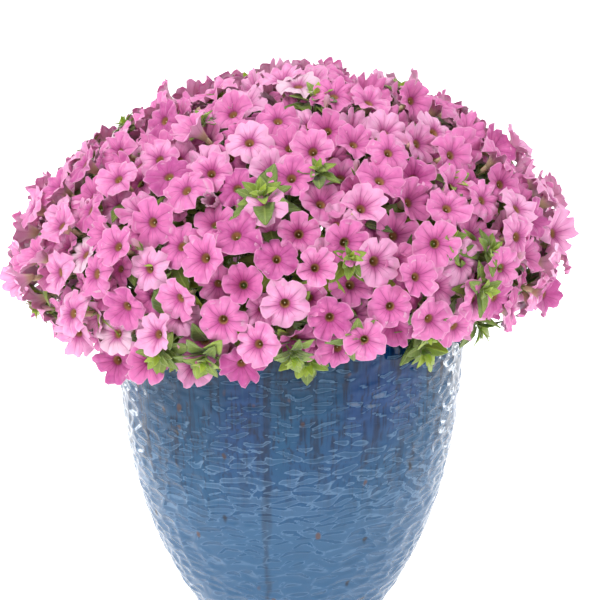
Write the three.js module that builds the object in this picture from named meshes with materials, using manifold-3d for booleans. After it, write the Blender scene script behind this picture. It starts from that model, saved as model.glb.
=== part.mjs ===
// A petunia in full bloom in a tall glazed pot. Millimetres, +Z up, the origin at the middle of the
// pot's foot, and the front of the plant towards -Y.
//
// The pot is filled with soil. Sixteen flowering sprays stand in plain holes in the soil: each is a
// stem that rises to a slab-like head, and the blooms stand out of the heads all round the mound.
// Leafy shoots come up in the channels between the heads, and others hang over the rim.
import * as THREE from "three";
import { mergeVertices } from "three/addons/utils/BufferGeometryUtils.js";
import Module from "manifold-3d";

const wasm = await Module();
wasm.setup();

// Pot: an egg-shaped wall that narrows to a foot, with a rounded lip
const POT_HEIGHT = 435;
const RIM_RADIUS = 231;
const POT_LEAN_IN = 0.1; // share of the radius lost evenly down the wall
const POT_ROUND_IN = 0.475; // share of the radius lost by the curve towards the foot
const WALL = 14;
const FOOT_HEIGHT = 12;
const FOOT_RING_WIDTH = 20;
const FOOT_RECESS = 5;
const FLOOR_TOP = 30;
const DRAIN_RADIUS = 14;
const LIP_STEPS = 4;
const POT_SIDES = 32;
const POT_ROWS = 7;
const INNER_ROWS = 4;

// Soil
const GAP = 0.4; // clearance between separate pieces that touch
const SOIL_TOP = POT_HEIGHT - 30;
const SOIL_CROWN = 6; // height of the soil's middle above its edge
const HOLE_DEPTH = 45;
const HOLE_CLEARANCE = 0.8;

// Mound: the surface that the faces of the blooms lie about
const MOUND_CENTRE = 524; // height of the widest ring
const MOUND_REACH = 349;
const MOUND_RISE = 213;
const MOUND_DROP = 118;
const CROWN_POWER = 1.7;
const SKIRT_POWER = 3;
const SKIRT_INSET = 0.45; // rise of the skirt's underside for each millimetre that it is drawn in
const MOUND_LEAN = 25; // how far the top stands towards +X
const MOUND_TOP = 0.01; // least angle from the top, where the azimuth still counts
const MOUND_END = THREE.MathUtils.degToRad(125); // angle from the top at which the skirt ends
const TRAILS = [
  // where the skirt hangs lower or higher: azimuth and half-width in degrees, and depth
  { azimuth: 234, spread: 22, depth: 60 },
  { azimuth: 264, spread: 10, depth: 22 },
  { azimuth: 325, spread: 26, depth: -30 },
  { azimuth: 60, spread: 40, depth: 30 },
];

// Sprays: one on the crown and two rings below it, each over its own patch of the mound
const UPPER_SPRAYS = 5;
const LOWER_SPRAYS = 10;
const SPRAYS = 1 + UPPER_SPRAYS + LOWER_SPRAYS;
const UPPER_START = THREE.MathUtils.degToRad(-13); // azimuth of each ring's first channel
const LOWER_START = THREE.MathUtils.degToRad(23);
const BLOOM_STANDOFF = 46;
const HEAD_THICKNESS = 30;
const CHANNEL = 7; // half the width of the channel between two heads
const CROWN_CORNERS = 8;
const STEM_RADIUS = 4.5;
const STEM_SIDES = 3;
const STEM_STEPS = 3;
const STEM_BEND = 50;

// Blooms: a five-lobed funnel on a narrow tube
const BLOOMS = 352;
const BLOOM_RADIUS = 28.5;
const LOBES = 5;
const NOTCH_SHARE = 0.84;
const THROAT_DEPTH = 9;
const NECK_DEPTH = 13;
const NECK_RADIUS = 4.5;
const NECK_SIDES = 3;
const ROOT_SUNK = 20;
const ROOT_MARGIN = 4; // from a root to the edge of its head
const CROWN_ROOM = 0.9; // share of the crown's round patch that lies inside its head's corners
const ANGLE_WANDER = 0.022;
const SIDE_WANDER = 6;
const LAYERS = [-12, 4, -4, 12]; // heights of neighbouring blooms about the mound's surface
const NUDGES = [0, 5, -5, 10, -10, 15, 20, -15, 26];
const LAYER_WANDER = 2;
const SIZE_WANDER = 0.09;
const LOOK_OUT = 0.8; // how far the faces turn from the mound's own slope towards the side
const LOOK_UP = 0.2; // and towards the sky
const TILT = 0.42;
const CURL = 2; // how far the lobes' tips bend back

// Leafy shoots: in the channels between the heads, and over the rim
const LEAF_LENGTH = 36;
const LEAF_SHARE = 0.5; // a leaf's width as a share of its length
const LEAF_HALF_THICKNESS = 0.8;
const LEAF_DROOP = 0.28;
const SHOOT_RADIUS = 2;
const SHOOT_SIDES = 3;
const SHOOT_BEND = 40;
const SHOOT_INSETS = [-6, 4, 12, 20, 28, 36, 44]; // how far under the blooms a shoot may end
const RIM_HANGS = [22, 14, 6]; // how far below the rim's top one may hang
const CHANNEL_LEAVES = 3;
const RIM_LEAVES = 4;
const LEAF_STEP = 5; // along the shoot from one leaf to the next
// A leaf's pitch and turn aside, tried in this order until it lies clear of its neighbours
const LEAF_BENDS = [0.9, 0.6, 0.3, 1.4].flatMap((pitch) => [0, 0.4, -0.4].map((aside) => [pitch, aside]));

// Where the stems stand in the soil, out from the middle
const FOOT_NEAREST = 22;
const FOOT_SPREAD = 60; // further out for each radian further down that the stem ends
const RIM_SHOOT_FOOT = 186;

const GOLDEN_ANGLE = Math.PI * (3 - Math.sqrt(5));
const SLIVER = 0.02; // shortest edge kept where solids are joined
const UP = new THREE.Vector3(0, 0, 1);

// A seeded source of numbers from 0 to 1, so that the plant grows the same way each time
function seededRandom(seed) {
  let state = seed;
  return () => {
    state = (state + 0x6d2b79f5) | 0;
    let mixed = Math.imul(state ^ (state >>> 15), 1 | state);
    mixed = (mixed + Math.imul(mixed ^ (mixed >>> 7), 61 | mixed)) ^ mixed;
    return ((mixed ^ (mixed >>> 14)) >>> 0) / 4294967296;
  };
}

// Closed geometry to a solid, and back
function solidOf(geometry) {
  const plain = geometry.clone();
  plain.deleteAttribute("normal");
  plain.deleteAttribute("uv");
  const merged = mergeVertices(plain, 1e-4);
  return new wasm.Manifold(
    new wasm.Mesh({
      numProp: 3,
      vertProperties: new Float32Array(merged.attributes.position.array),
      triVerts: new Uint32Array(merged.index.array),
    }),
  );
}

function geometryOf(solid) {
  const { vertProperties, triVerts } = solid.getMesh();
  const geometry = new THREE.BufferGeometry();
  geometry.setAttribute("position", new THREE.BufferAttribute(vertProperties, 3));
  geometry.setIndex(new THREE.BufferAttribute(triVerts, 1));
  geometry.computeVertexNormals();
  return geometry;
}

function geometryFrom(vertices, faces) {
  const geometry = new THREE.BufferGeometry().setFromPoints(vertices);
  geometry.setIndex(faces.flat());
  return geometry;
}

// Joined in one, without the slivers that a join leaves
function fused(solids) {
  return wasm.Manifold.union(solids).simplify(SLIVER);
}

function crosses(solid, others) {
  const { min, max } = solid.boundingBox();
  return others.some((other) => {
    const box = other.boundingBox();
    const apart = [0, 1, 2].some((k) => box.min[k] > max[k] || box.max[k] < min[k]);
    return !apart && solid.intersect(other).volume() > 0;
  });
}

// A tube through the points with its own radius at each, closed at both ends
function stalk(points, radii, sides) {
  const vertices = [];
  const faces = [];
  let across = new THREE.Vector3(1, 0, 0);
  points.forEach((point, ring) => {
    const ahead = points[Math.min(ring + 1, points.length - 1)];
    const behind = points[Math.max(ring - 1, 0)];
    const along = ahead.clone().sub(behind).normalize();
    across = across.clone().addScaledVector(along, -across.dot(along)).normalize();
    const third = along.clone().cross(across);
    for (let k = 0; k < sides; k++) {
      const turn = (2 * Math.PI * k) / sides;
      vertices.push(
        point
          .clone()
          .addScaledVector(across, radii[ring] * Math.cos(turn))
          .addScaledVector(third, radii[ring] * Math.sin(turn)),
      );
    }
  });
  for (let ring = 0; ring + 1 < points.length; ring++) {
    for (let k = 0; k < sides; k++) {
      const a = ring * sides + k;
      const b = ring * sides + ((k + 1) % sides);
      faces.push([a, b, b + sides], [a, b + sides, a + sides]);
    }
  }
  const last = (points.length - 1) * sides;
  for (let k = 1; k + 1 < sides; k++) {
    faces.push([0, k + 1, k], [last, last + k, last + k + 1]);
  }
  return solidOf(geometryFrom(vertices, faces));
}

// Pot
function potRadius(height) {
  const down = (POT_HEIGHT - height) / POT_HEIGHT;
  return RIM_RADIUS * (1 - POT_LEAN_IN * down - POT_ROUND_IN * down ** 3);
}

// Points of the wall from one height to another, drawn in by inset
function wallLine(from, to, inset, rows) {
  return Array.from({ length: rows }, (_, k) => {
    const height = from + ((to - from) * k) / (rows - 1);
    return new THREE.Vector2(potRadius(height) - inset, height);
  });
}

function makePot() {
  const lipHeight = POT_HEIGHT - WALL / 2;
  const lipCentre = new THREE.Vector2(potRadius(lipHeight) - WALL / 2, lipHeight);
  const lip = Array.from({ length: LIP_STEPS - 1 }, (_, k) => {
    const turn = (Math.PI * (k + 1)) / LIP_STEPS;
    return new THREE.Vector2(Math.cos(turn), Math.sin(turn)).multiplyScalar(WALL / 2).add(lipCentre);
  });
  const footRadius = potRadius(FOOT_HEIGHT);
  const profile = [
    new THREE.Vector2(DRAIN_RADIUS, FOOT_RECESS),
    new THREE.Vector2(footRadius - FOOT_RING_WIDTH - FOOT_RECESS, FOOT_RECESS),
    new THREE.Vector2(footRadius - FOOT_RING_WIDTH, 0),
    new THREE.Vector2(footRadius, 0),
    ...wallLine(FOOT_HEIGHT, lipHeight, 0, POT_ROWS),
    ...lip,
    new THREE.Vector2(potRadius(lipHeight) - WALL, lipHeight),
    ...wallLine(SOIL_TOP, FLOOR_TOP, WALL, INNER_ROWS),
    new THREE.Vector2(DRAIN_RADIUS, FLOOR_TOP),
    new THREE.Vector2(DRAIN_RADIUS, FOOT_RECESS),
  ];
  return solidOf(lathe(profile, POT_SIDES));
}

// A turned solid that stands along +Z
function lathe(profile, sides) {
  const geometry = new THREE.LatheGeometry(profile, sides);
  geometry.rotateX(Math.PI / 2);
  return geometry;
}

function makeSoil(stems) {
  const line = wallLine(FLOOR_TOP, SOIL_TOP, WALL + GAP, INNER_ROWS);
  line[0].y += GAP;
  const body = solidOf(
    lathe(
      [new THREE.Vector2(0, FLOOR_TOP + GAP), ...line, new THREE.Vector2(0, SOIL_TOP + SOIL_CROWN)],
      POT_SIDES,
    ),
  );
  const holes = stems.map(({ foot, stemSize: { radius, sides } }) => {
    const ends = [-HOLE_CLEARANCE, HOLE_DEPTH + SOIL_CROWN + 1].map((rise) =>
      foot.clone().addScaledVector(UP, rise),
    );
    return stalk(ends, [radius + 2 * HOLE_CLEARANCE, radius + 2 * HOLE_CLEARANCE], sides);
  });
  return body.subtract(fused(holes));
}

// Mound: a point at an angle from the top and an azimuth, drawn in by inset
function moundProfile(angle, inset) {
  const crown = angle <= Math.PI / 2;
  const power = 2 / (crown ? CROWN_POWER : SKIRT_POWER);
  const height = crown ? MOUND_RISE - inset : SKIRT_INSET * inset - MOUND_DROP;
  return new THREE.Vector2(
    (MOUND_REACH - inset) * Math.sin(angle) ** power,
    MOUND_CENTRE + height * Math.abs(Math.cos(angle)) ** power,
  );
}

// Moves a point of the even mound to where the leaning, trailing one has it
function leanAndTrail(point) {
  const above = Math.max(0, point.z - MOUND_CENTRE) / MOUND_RISE;
  const below = Math.max(0, MOUND_CENTRE - point.z) / MOUND_DROP;
  const azimuth = THREE.MathUtils.radToDeg(Math.atan2(point.y, point.x));
  let sag = 0;
  for (const trail of TRAILS) {
    const off = ((azimuth - trail.azimuth + 540) % 360) - 180;
    sag += trail.depth * Math.exp(-((off / trail.spread) ** 2));
  }
  point.x += MOUND_LEAN * above;
  point.z -= sag * below;
  return point;
}

function moundPoint(angle, azimuth, inset = 0) {
  const { x: out, y: height } = moundProfile(angle, inset);
  return leanAndTrail(new THREE.Vector3(out * Math.cos(azimuth), out * Math.sin(azimuth), height));
}

function moundNormal(angle, azimuth) {
  const step = 0.02;
  const down = moundPoint(angle + step, azimuth).sub(moundPoint(Math.max(angle - step, 0), azimuth));
  const round = moundPoint(angle, azimuth + step).sub(moundPoint(angle, azimuth - step));
  return down.cross(round).normalize();
}

// The angle from the top within which each share of the mound's surface lies
function anglesCovering(shares) {
  const rows = 400;
  const covered = [0];
  for (let k = 1; k <= rows; k++) {
    const from = moundProfile((MOUND_END * (k - 1)) / rows, 0);
    const to = moundProfile((MOUND_END * k) / rows, 0);
    covered.push(covered[k - 1] + (from.x + to.x) * from.distanceTo(to));
  }
  return shares.map((share) => {
    const wanted = covered[rows] * share;
    const row = covered.findIndex((area) => area > wanted);
    const part = (wanted - covered[row - 1]) / (covered[row] - covered[row - 1]);
    return (MOUND_END * (row - 1 + part)) / rows;
  });
}

// Where a stem stands in the soil: further out for what hangs further down
function stemFoot(angle, azimuth) {
  const out = angle < MOUND_END ? FOOT_NEAREST + FOOT_SPREAD * angle : RIM_SHOOT_FOOT;
  return new THREE.Vector3(out * Math.cos(azimuth), out * Math.sin(azimuth), SOIL_TOP - HOLE_DEPTH);
}

// Straight up out of the soil from the foot, then in one bend to the end
function stemPath(foot, end, endDirection, bendHeight) {
  const top = foot.clone().addScaledVector(UP, HOLE_DEPTH + SOIL_CROWN + 4);
  const bend = new THREE.CubicBezierCurve3(
    top,
    top.clone().addScaledVector(UP, bendHeight),
    end.clone().addScaledVector(endDirection, -bendHeight),
    end,
  );
  return [foot, ...bend.getPoints(STEM_STEPS)];
}

// Sprays: the patch of the mound that each covers, between two angles and two azimuths
function sprayPlan() {
  const [crownEdge, upperEdge] = anglesCovering([1 / SPRAYS, (1 + UPPER_SPRAYS) / SPRAYS]);
  const ring = (name, count, start, from, to) =>
    Array.from({ length: count }, (_, k) => {
      const halfWidth = Math.PI / count;
      return {
        name: `${name}_${k + 1}`,
        from,
        to,
        middle: (from + to) / 2,
        azimuth: start + halfWidth * (2 * k + 1),
        halfWidth,
      };
    });
  const sprays = [
    { name: "crown_spray", from: 0, to: crownEdge, middle: 0, azimuth: 0, halfWidth: Math.PI },
    ...ring("upper_spray", UPPER_SPRAYS, UPPER_START, crownEdge, upperEdge),
    ...ring("lower_spray", LOWER_SPRAYS, LOWER_START, upperEdge, MOUND_END),
  ];
  for (const spray of sprays) {
    spray.foot = stemFoot(spray.middle, spray.azimuth);
    spray.stemSize = { radius: STEM_RADIUS, sides: STEM_SIDES };
  }
  return sprays;
}

function isCrown(spray) {
  return spray.halfWidth === Math.PI;
}

// How far an azimuth lies to the side of a spray's middle, from -PI to PI
function sideways(azimuth, spray) {
  const turn = azimuth - spray.azimuth;
  return turn - 2 * Math.PI * Math.round(turn / (2 * Math.PI));
}

function sprayOf(angle, azimuth, sprays) {
  return sprays.find(
    (spray) => angle < spray.to && Math.abs(sideways(azimuth, spray)) <= spray.halfWidth,
  );
}

// The corners of a spray's head, anticlockwise from outside: angle and azimuth of each
function headCorners(spray) {
  const { from, to, middle, azimuth, halfWidth } = spray;
  const inner = from + CHANNEL / MOUND_RISE;
  const outer = to - CHANNEL / MOUND_RISE;
  if (isCrown(spray)) {
    return Array.from({ length: CROWN_CORNERS }, (_, k) => [outer, (2 * Math.PI * k) / CROWN_CORNERS]);
  }
  const half = (angle) => halfWidth - CHANNEL / moundProfile(angle, BLOOM_STANDOFF).x;
  const lowerEdge = [-1, -0.5, 0, 0.5, 1].map((share) => [outer, azimuth + share * half(outer)]);
  return [
    [inner, azimuth - half(inner)],
    [middle, azimuth - half(middle)],
    ...lowerEdge,
    [middle, azimuth + half(middle)],
    [inner, azimuth + half(inner)],
    [inner, azimuth],
  ];
}

// The leafy head that a spray's blooms stand out of: a slab with a bulging face
function makeHead(spray) {
  const corners = headCorners(spray);
  const count = corners.length;
  const layer = (inset) => [
    moundPoint(spray.middle, spray.azimuth, inset),
    ...corners.map(([angle, azimuth]) => moundPoint(angle, azimuth, inset)),
  ];
  const vertices = [...layer(BLOOM_STANDOFF), ...layer(BLOOM_STANDOFF + HEAD_THICKNESS)];
  const innerMiddle = count + 1;
  const faces = [];
  for (let k = 1; k <= count; k++) {
    const next = (k % count) + 1;
    faces.push([0, k, next], [innerMiddle, innerMiddle + next, innerMiddle + k]);
    faces.push([k, innerMiddle + k, innerMiddle + next], [k, innerMiddle + next, next]);
  }
  return solidOf(geometryFrom(vertices, faces));
}

function makeSprayStem(spray) {
  const end = moundPoint(spray.middle, spray.azimuth, BLOOM_STANDOFF + HEAD_THICKNESS / 2);
  const along = moundNormal(Math.max(spray.middle, MOUND_TOP), spray.azimuth);
  const path = stemPath(spray.foot, end, along, STEM_BEND);
  return stalk(path, path.map(() => STEM_RADIUS), STEM_SIDES);
}

// The point of a bloom's root: under it, or as near as its own head reaches
function rootPoint(spray, angle, azimuth) {
  const inset = BLOOM_STANDOFF + ROOT_SUNK;
  const margin = CHANNEL + NECK_RADIUS + ROOT_MARGIN;
  const outer = (spray.to - margin / MOUND_RISE) * (isCrown(spray) ? CROWN_ROOM : 1);
  const inner = isCrown(spray) ? MOUND_TOP : spray.from + margin / MOUND_RISE;
  const rootAngle = THREE.MathUtils.clamp(angle, inner, outer);
  const room = isCrown(spray) ? Math.PI : spray.halfWidth - margin / moundProfile(rootAngle, inset).x;
  const side = THREE.MathUtils.clamp(sideways(azimuth, spray), -room, room);
  return moundPoint(rootAngle, spray.azimuth + side, inset);
}

// Blooms: seats on the mound by the golden angle, with a seeded wander
function bloomSeats(sprays) {
  const random = seededRandom(20);
  const about = (amount) => amount * (2 * random() - 1);
  const shares = Array.from({ length: BLOOMS }, (_, n) => (n + 0.5) / BLOOMS);
  return anglesCovering(shares).map((evenAngle, n) => {
    const angle = Math.max(evenAngle + about(ANGLE_WANDER), MOUND_TOP);
    const azimuth = n * GOLDEN_ANGLE + about(SIDE_WANDER) / (40 + moundProfile(evenAngle, 0).x);
    const spray = sprayOf(evenAngle, azimuth, sprays);
    const normal = moundNormal(angle, azimuth);
    const outward = new THREE.Vector3(Math.cos(azimuth), Math.sin(azimuth), 0);
    const turned = normal.clone().addScaledVector(outward, LOOK_OUT).addScaledVector(UP, LOOK_UP);
    const tilt = new THREE.Vector3(about(TILT), about(TILT), about(TILT));
    return {
      spray,
      normal,
      surface: moundPoint(angle, azimuth),
      root: rootPoint(spray, angle, azimuth),
      face: turned.add(tilt).normalize(),
      layer: LAYERS[n % LAYERS.length] + about(LAYER_WANDER),
      radius: BLOOM_RADIUS * (1 + about(SIZE_WANDER)),
      turn: random() * 2 * Math.PI,
      curl: CURL + about(CURL),
    };
  });
}

function makeBloom(seat, nudge) {
  const centre = seat.surface.clone().addScaledVector(seat.normal, seat.layer + nudge);
  const across = new THREE.Vector3(1, 0.3, 0.2).cross(seat.face).normalize();
  const third = seat.face.clone().cross(across);
  const at = (out, turn, rise) =>
    centre
      .clone()
      .addScaledVector(across, out * Math.cos(turn))
      .addScaledVector(third, out * Math.sin(turn))
      .addScaledVector(seat.face, rise);
  const edge = 2 * LOBES;
  const vertices = [at(0, 0, -THROAT_DEPTH)];
  for (let k = 0; k < edge; k++) {
    const lobe = k % 2 === 0;
    const turn = seat.turn + (2 * Math.PI * k) / edge;
    vertices.push(at(seat.radius * (lobe ? 1 : NOTCH_SHARE), turn, lobe ? -seat.curl : 0.5));
  }
  for (let k = 0; k < NECK_SIDES; k++) {
    const turn = seat.turn + (2 * Math.PI * (k + 0.5)) / NECK_SIDES;
    vertices.push(at(NECK_RADIUS, turn, -NECK_DEPTH));
  }
  const firstNeck = 1 + edge;
  const root = firstNeck + NECK_SIDES;
  vertices.push(seat.root);
  const neckOf = (k) => firstNeck + Math.floor((k * NECK_SIDES) / edge);
  const faces = [];
  for (let k = 0; k < edge; k++) {
    const next = (k + 1) % edge;
    faces.push([0, 1 + k, 1 + next], [1 + next, 1 + k, neckOf(k)]);
    if (neckOf(k) !== neckOf(next)) faces.push([1 + next, neckOf(k), neckOf(next)]);
  }
  for (let k = 0; k < NECK_SIDES; k++) {
    faces.push([firstNeck + ((k + 1) % NECK_SIDES), firstNeck + k, root]);
  }
  return solidOf(geometryFrom(vertices, faces));
}

// Sets each bloom clear of those already placed, a little higher or lower on its tube
function placeBlooms(seats) {
  const placed = [];
  for (const seat of seats) {
    const clear = NUDGES.find((nudge) => !crosses(makeBloom(seat, nudge), placed));
    if (clear === undefined) continue;
    seat.bloom = makeBloom(seat, clear);
    placed.push(seat.bloom);
  }
}

function makeSpray(spray, seats) {
  const blooms = seats.filter((seat) => seat.spray === spray && seat.bloom).map((seat) => seat.bloom);
  return fused([makeHead(spray), makeSprayStem(spray), ...blooms]);
}

// A leaf as a thin arched blade from base along direction, its upper side towards facing
function makeLeaf(base, direction, facing, length) {
  const side = direction.clone().cross(facing).normalize();
  const out = side.clone().cross(direction).normalize();
  const at = (share, halfWidth, lift) =>
    base
      .clone()
      .addScaledVector(direction, share * length)
      .addScaledVector(side, halfWidth * length * LEAF_SHARE)
      .addScaledVector(out, lift - LEAF_DROOP * share ** 2 * length);
  const vertices = [
    at(0, 0, 0),
    at(0.3, 0.44, 0),
    at(0.7, 0.4, 0),
    at(1, 0, 0),
    at(0.7, -0.4, 0),
    at(0.3, -0.44, 0),
    at(0.5, 0, LEAF_HALF_THICKNESS),
    at(0.5, 0, -LEAF_HALF_THICKNESS),
  ];
  const edge = 6;
  const faces = [];
  for (let k = 0; k < edge; k++) {
    const next = (k + 1) % edge;
    faces.push([edge, k, next], [edge + 1, next, k]);
  }
  return solidOf(geometryFrom(vertices, faces));
}

// Leafy shoots: in the channels between the heads, and out over the rim
function shootPlan(sprays) {
  const [crown, firstUpper] = sprays;
  const channels = (name, count, start, angle) =>
    Array.from({ length: count }, (_, k) => {
      const azimuth = start + (2 * Math.PI * k) / count;
      return {
        name: `${name}_${k + 1}`,
        angle,
        azimuth,
        foot: stemFoot(angle, azimuth),
        stemSize: { radius: SHOOT_RADIUS, sides: SHOOT_SIDES },
      };
    });
  return [
    ...channels("top_shoot", UPPER_SPRAYS, UPPER_START, crown.to),
    ...channels("side_shoot", LOWER_SPRAYS / 2, LOWER_START, firstUpper.to),
    ...channels("rim_shoot", LOWER_SPRAYS, LOWER_START, MOUND_END),
  ];
}

function isOverRim(shoot) {
  return shoot.angle === MOUND_END;
}

// The way of a shoot up through its channel to just under the blooms
function channelPath(shoot, inset) {
  const along = moundNormal(shoot.angle, shoot.azimuth);
  const inner = moundPoint(shoot.angle, shoot.azimuth, BLOOM_STANDOFF + HEAD_THICKNESS + 8);
  const end = moundPoint(shoot.angle, shoot.azimuth, inset);
  return [...stemPath(shoot.foot, inner, along, SHOOT_BEND), end];
}

// The way of a shoot up from the edge of the soil, over the lip and down outside it
function rimPath(shoot, hang) {
  const outward = new THREE.Vector3(Math.cos(shoot.azimuth), Math.sin(shoot.azimuth), 0);
  const at = (out, height) => outward.clone().multiplyScalar(out).setZ(height);
  return [
    shoot.foot,
    at(RIM_SHOOT_FOOT, SOIL_TOP + 15),
    at(RIM_RADIUS - 14, POT_HEIGHT + 12),
    at(RIM_RADIUS + 6, POT_HEIGHT + 10),
    at(RIM_RADIUS + 22, POT_HEIGHT - hang),
  ];
}

function makeShoot(shoot, others, random) {
  const stemAlong = (path) =>
    stalk(
      path,
      path.map((_, k) => (k === path.length - 1 ? SHOOT_RADIUS / 2 : SHOOT_RADIUS)),
      SHOOT_SIDES,
    );
  const ways = isOverRim(shoot)
    ? RIM_HANGS.map((hang) => rimPath(shoot, hang))
    : SHOOT_INSETS.map((inset) => channelPath(shoot, inset));
  const path = ways.find((way) => !crosses(stemAlong(way), others)) ?? ways[ways.length - 1];
  const tip = path[path.length - 1];
  const along = tip.clone().sub(path[path.length - 2]).normalize();
  const across = new THREE.Vector3(0.3, 1, 0.2).cross(along).normalize();
  const third = along.clone().cross(across);
  const leaves = [];
  const count = isOverRim(shoot) ? RIM_LEAVES : CHANNEL_LEAVES;
  for (let k = 0; k < count; k++) {
    const base = tip.clone().addScaledVector(along, -2 - LEAF_STEP * k);
    const turn = k * GOLDEN_ANGLE + random();
    const length = LEAF_LENGTH * (0.6 + 0.1 * k);
    for (const [pitch, aside] of LEAF_BENDS) {
      const outward = across.clone().multiplyScalar(Math.cos(turn + aside));
      outward.addScaledVector(third, Math.sin(turn + aside));
      const direction = outward.addScaledVector(along, pitch - 0.12 * k).normalize();
      const leaf = makeLeaf(base, direction, along, length);
      if (!crosses(leaf, others)) {
        leaves.push(leaf);
        break;
      }
    }
  }
  return fused([stemAlong(path), ...leaves]);
}

function meshOf(name, geometry, material) {
  const mesh = new THREE.Mesh(geometry, material);
  mesh.name = name;
  return mesh;
}

const glaze = new THREE.MeshStandardMaterial({ color: 0x2f5f94, roughness: 0.15 });
const earth = new THREE.MeshStandardMaterial({ color: 0x3a2a20, roughness: 0.95 });
const petal = new THREE.MeshStandardMaterial({ color: 0xe377bd, roughness: 0.7 });
const leafGreen = new THREE.MeshStandardMaterial({ color: 0x6f9a2d, roughness: 0.65 });

const sprays = sprayPlan();
const shoots = shootPlan(sprays);

const plant = new THREE.Group();
const seats = bloomSeats(sprays);
placeBlooms(seats);
const pot = makePot();
const standing = [pot];
for (const spray of sprays) {
  const solid = makeSpray(spray, seats);
  standing.push(solid);
  plant.add(meshOf(spray.name, geometryOf(solid), petal));
}
const leafRandom = seededRandom(7);
for (const shoot of shoots) {
  const solid = makeShoot(shoot, standing, leafRandom);
  standing.push(solid);
  plant.add(meshOf(shoot.name, geometryOf(solid), leafGreen));
}

const pottedPetunia = new THREE.Group();
pottedPetunia.add(meshOf("pot", geometryOf(pot), glaze));
pottedPetunia.add(meshOf("potting_soil", geometryOf(makeSoil([...sprays, ...shoots])), earth));
pottedPetunia.add(plant);

export default pottedPetunia;
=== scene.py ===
"""The looks of a mounded petunia in a tall pot with a hammered blue glaze.

Lengths are in metres in the frame's own axes: +Z is up, the front is towards -Y, and the origin is
at the middle of the pot's foot. A place on the plant is an angle down from the top of the mound and
an azimuth, and each bloom, leaf and stem is set from there, or from the frame's own nodes.
"""

import logging
import math
from dataclasses import dataclass, field
from enum import Enum

import bmesh
import bpy
from mathutils import Matrix, Vector, kdtree, noise


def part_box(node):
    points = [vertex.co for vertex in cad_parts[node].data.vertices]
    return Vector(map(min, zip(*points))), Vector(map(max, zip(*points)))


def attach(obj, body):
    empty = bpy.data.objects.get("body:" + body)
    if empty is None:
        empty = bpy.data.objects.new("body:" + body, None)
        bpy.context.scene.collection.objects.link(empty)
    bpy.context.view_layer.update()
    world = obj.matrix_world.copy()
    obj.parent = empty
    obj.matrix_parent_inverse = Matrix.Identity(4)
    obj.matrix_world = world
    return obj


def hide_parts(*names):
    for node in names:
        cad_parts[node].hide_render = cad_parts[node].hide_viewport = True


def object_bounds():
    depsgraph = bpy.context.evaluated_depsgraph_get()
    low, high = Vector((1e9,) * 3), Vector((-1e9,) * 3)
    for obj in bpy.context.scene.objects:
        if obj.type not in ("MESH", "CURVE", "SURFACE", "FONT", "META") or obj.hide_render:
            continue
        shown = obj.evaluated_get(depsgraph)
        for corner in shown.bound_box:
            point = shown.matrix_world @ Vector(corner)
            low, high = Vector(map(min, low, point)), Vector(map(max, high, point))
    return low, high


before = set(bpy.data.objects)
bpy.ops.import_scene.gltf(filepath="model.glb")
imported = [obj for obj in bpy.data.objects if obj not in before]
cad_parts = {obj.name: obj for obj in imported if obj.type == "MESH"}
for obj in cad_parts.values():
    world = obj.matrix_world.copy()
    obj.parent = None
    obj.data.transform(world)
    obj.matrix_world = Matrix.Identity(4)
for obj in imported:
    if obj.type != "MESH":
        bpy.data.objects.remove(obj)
CAD_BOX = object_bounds()

MM = 0.001
TURN = 2 * math.pi
GOLDEN_ANGLE = math.pi * (3 - math.sqrt(5))
UP = Vector((0, 0, 1))
BODY = "root"
REPORT = logging.getLogger("petunia")


def smooth_step(value: float, low: float, high: float) -> float:
    """Eases from 0 to 1 as a value goes from low to high.

    Args:
        value: The value.
        low: Where the result is 0.
        high: Where the result is 1.

    Returns:
        The eased share.
    """
    share = min(1.0, max(0.0, (value - low) / (high - low)))
    return share * share * (3 - 2 * share)


def upright_frame(face: Vector, turn: float) -> Matrix:
    """Axes whose Z is a given direction, turned about it.

    Args:
        face: The direction of the new Z axis, of length 1.
        turn: The angle by which the new X axis is turned about it.

    Returns:
        A rotation, as a 4 by 4 matrix.
    """
    across = Vector((1, 0.3, 0.2)).cross(face).normalized()
    third = face.cross(across)
    along = across * math.cos(turn) + third * math.sin(turn)
    side = face.cross(along)
    return Matrix((along, side, face)).transposed().to_4x4()


def tag_layers(bm: bmesh.types.BMesh, kind: str) -> tuple[object, object]:
    """The layers of a mesh that the finishes read.

    Args:
        bm: The mesh, which gets the layers if it has none.
        kind: Whose layers they are: bloom or leaf.

    Returns:
        The layer of a point's own place on its bloom or leaf, and the layer of its tones.
    """
    held = bm.verts.layers.float_vector
    for name in (kind + "_place", kind + "_tone"):
        if name not in held.keys():
            held.new(name)
    return held[kind + "_place"], held[kind + "_tone"]


class PlantRandom:
    """A seeded source of numbers, by whole-number mixing, so that each run grows the same plant."""

    WORD = 0xFFFFFFFF

    def __init__(self, seed: int) -> None:
        """Starts the source at a seed."""
        self.state = seed

    def draw(self) -> float:
        """The next number from 0 to 1."""
        self.state = (self.state + 0x6D2B79F5) & self.WORD
        mixed = ((self.state ^ (self.state >> 15)) * (1 | self.state)) & self.WORD
        mixed = ((mixed + (mixed ^ (mixed >> 7)) * (61 | mixed)) & self.WORD) ^ mixed
        return (mixed ^ (mixed >> 14)) / (self.WORD + 1)

    def about(self, amount: float) -> float:
        """The next number from -amount to amount."""
        return amount * (2 * self.draw() - 1)

    def between(self, low: float, high: float) -> float:
        """The next number from low to high."""
        return low + (high - low) * self.draw()

    def pick(self, choices: list) -> object:
        """One of a list."""
        return choices[int(self.draw() * len(choices))]


# Finishes


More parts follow.
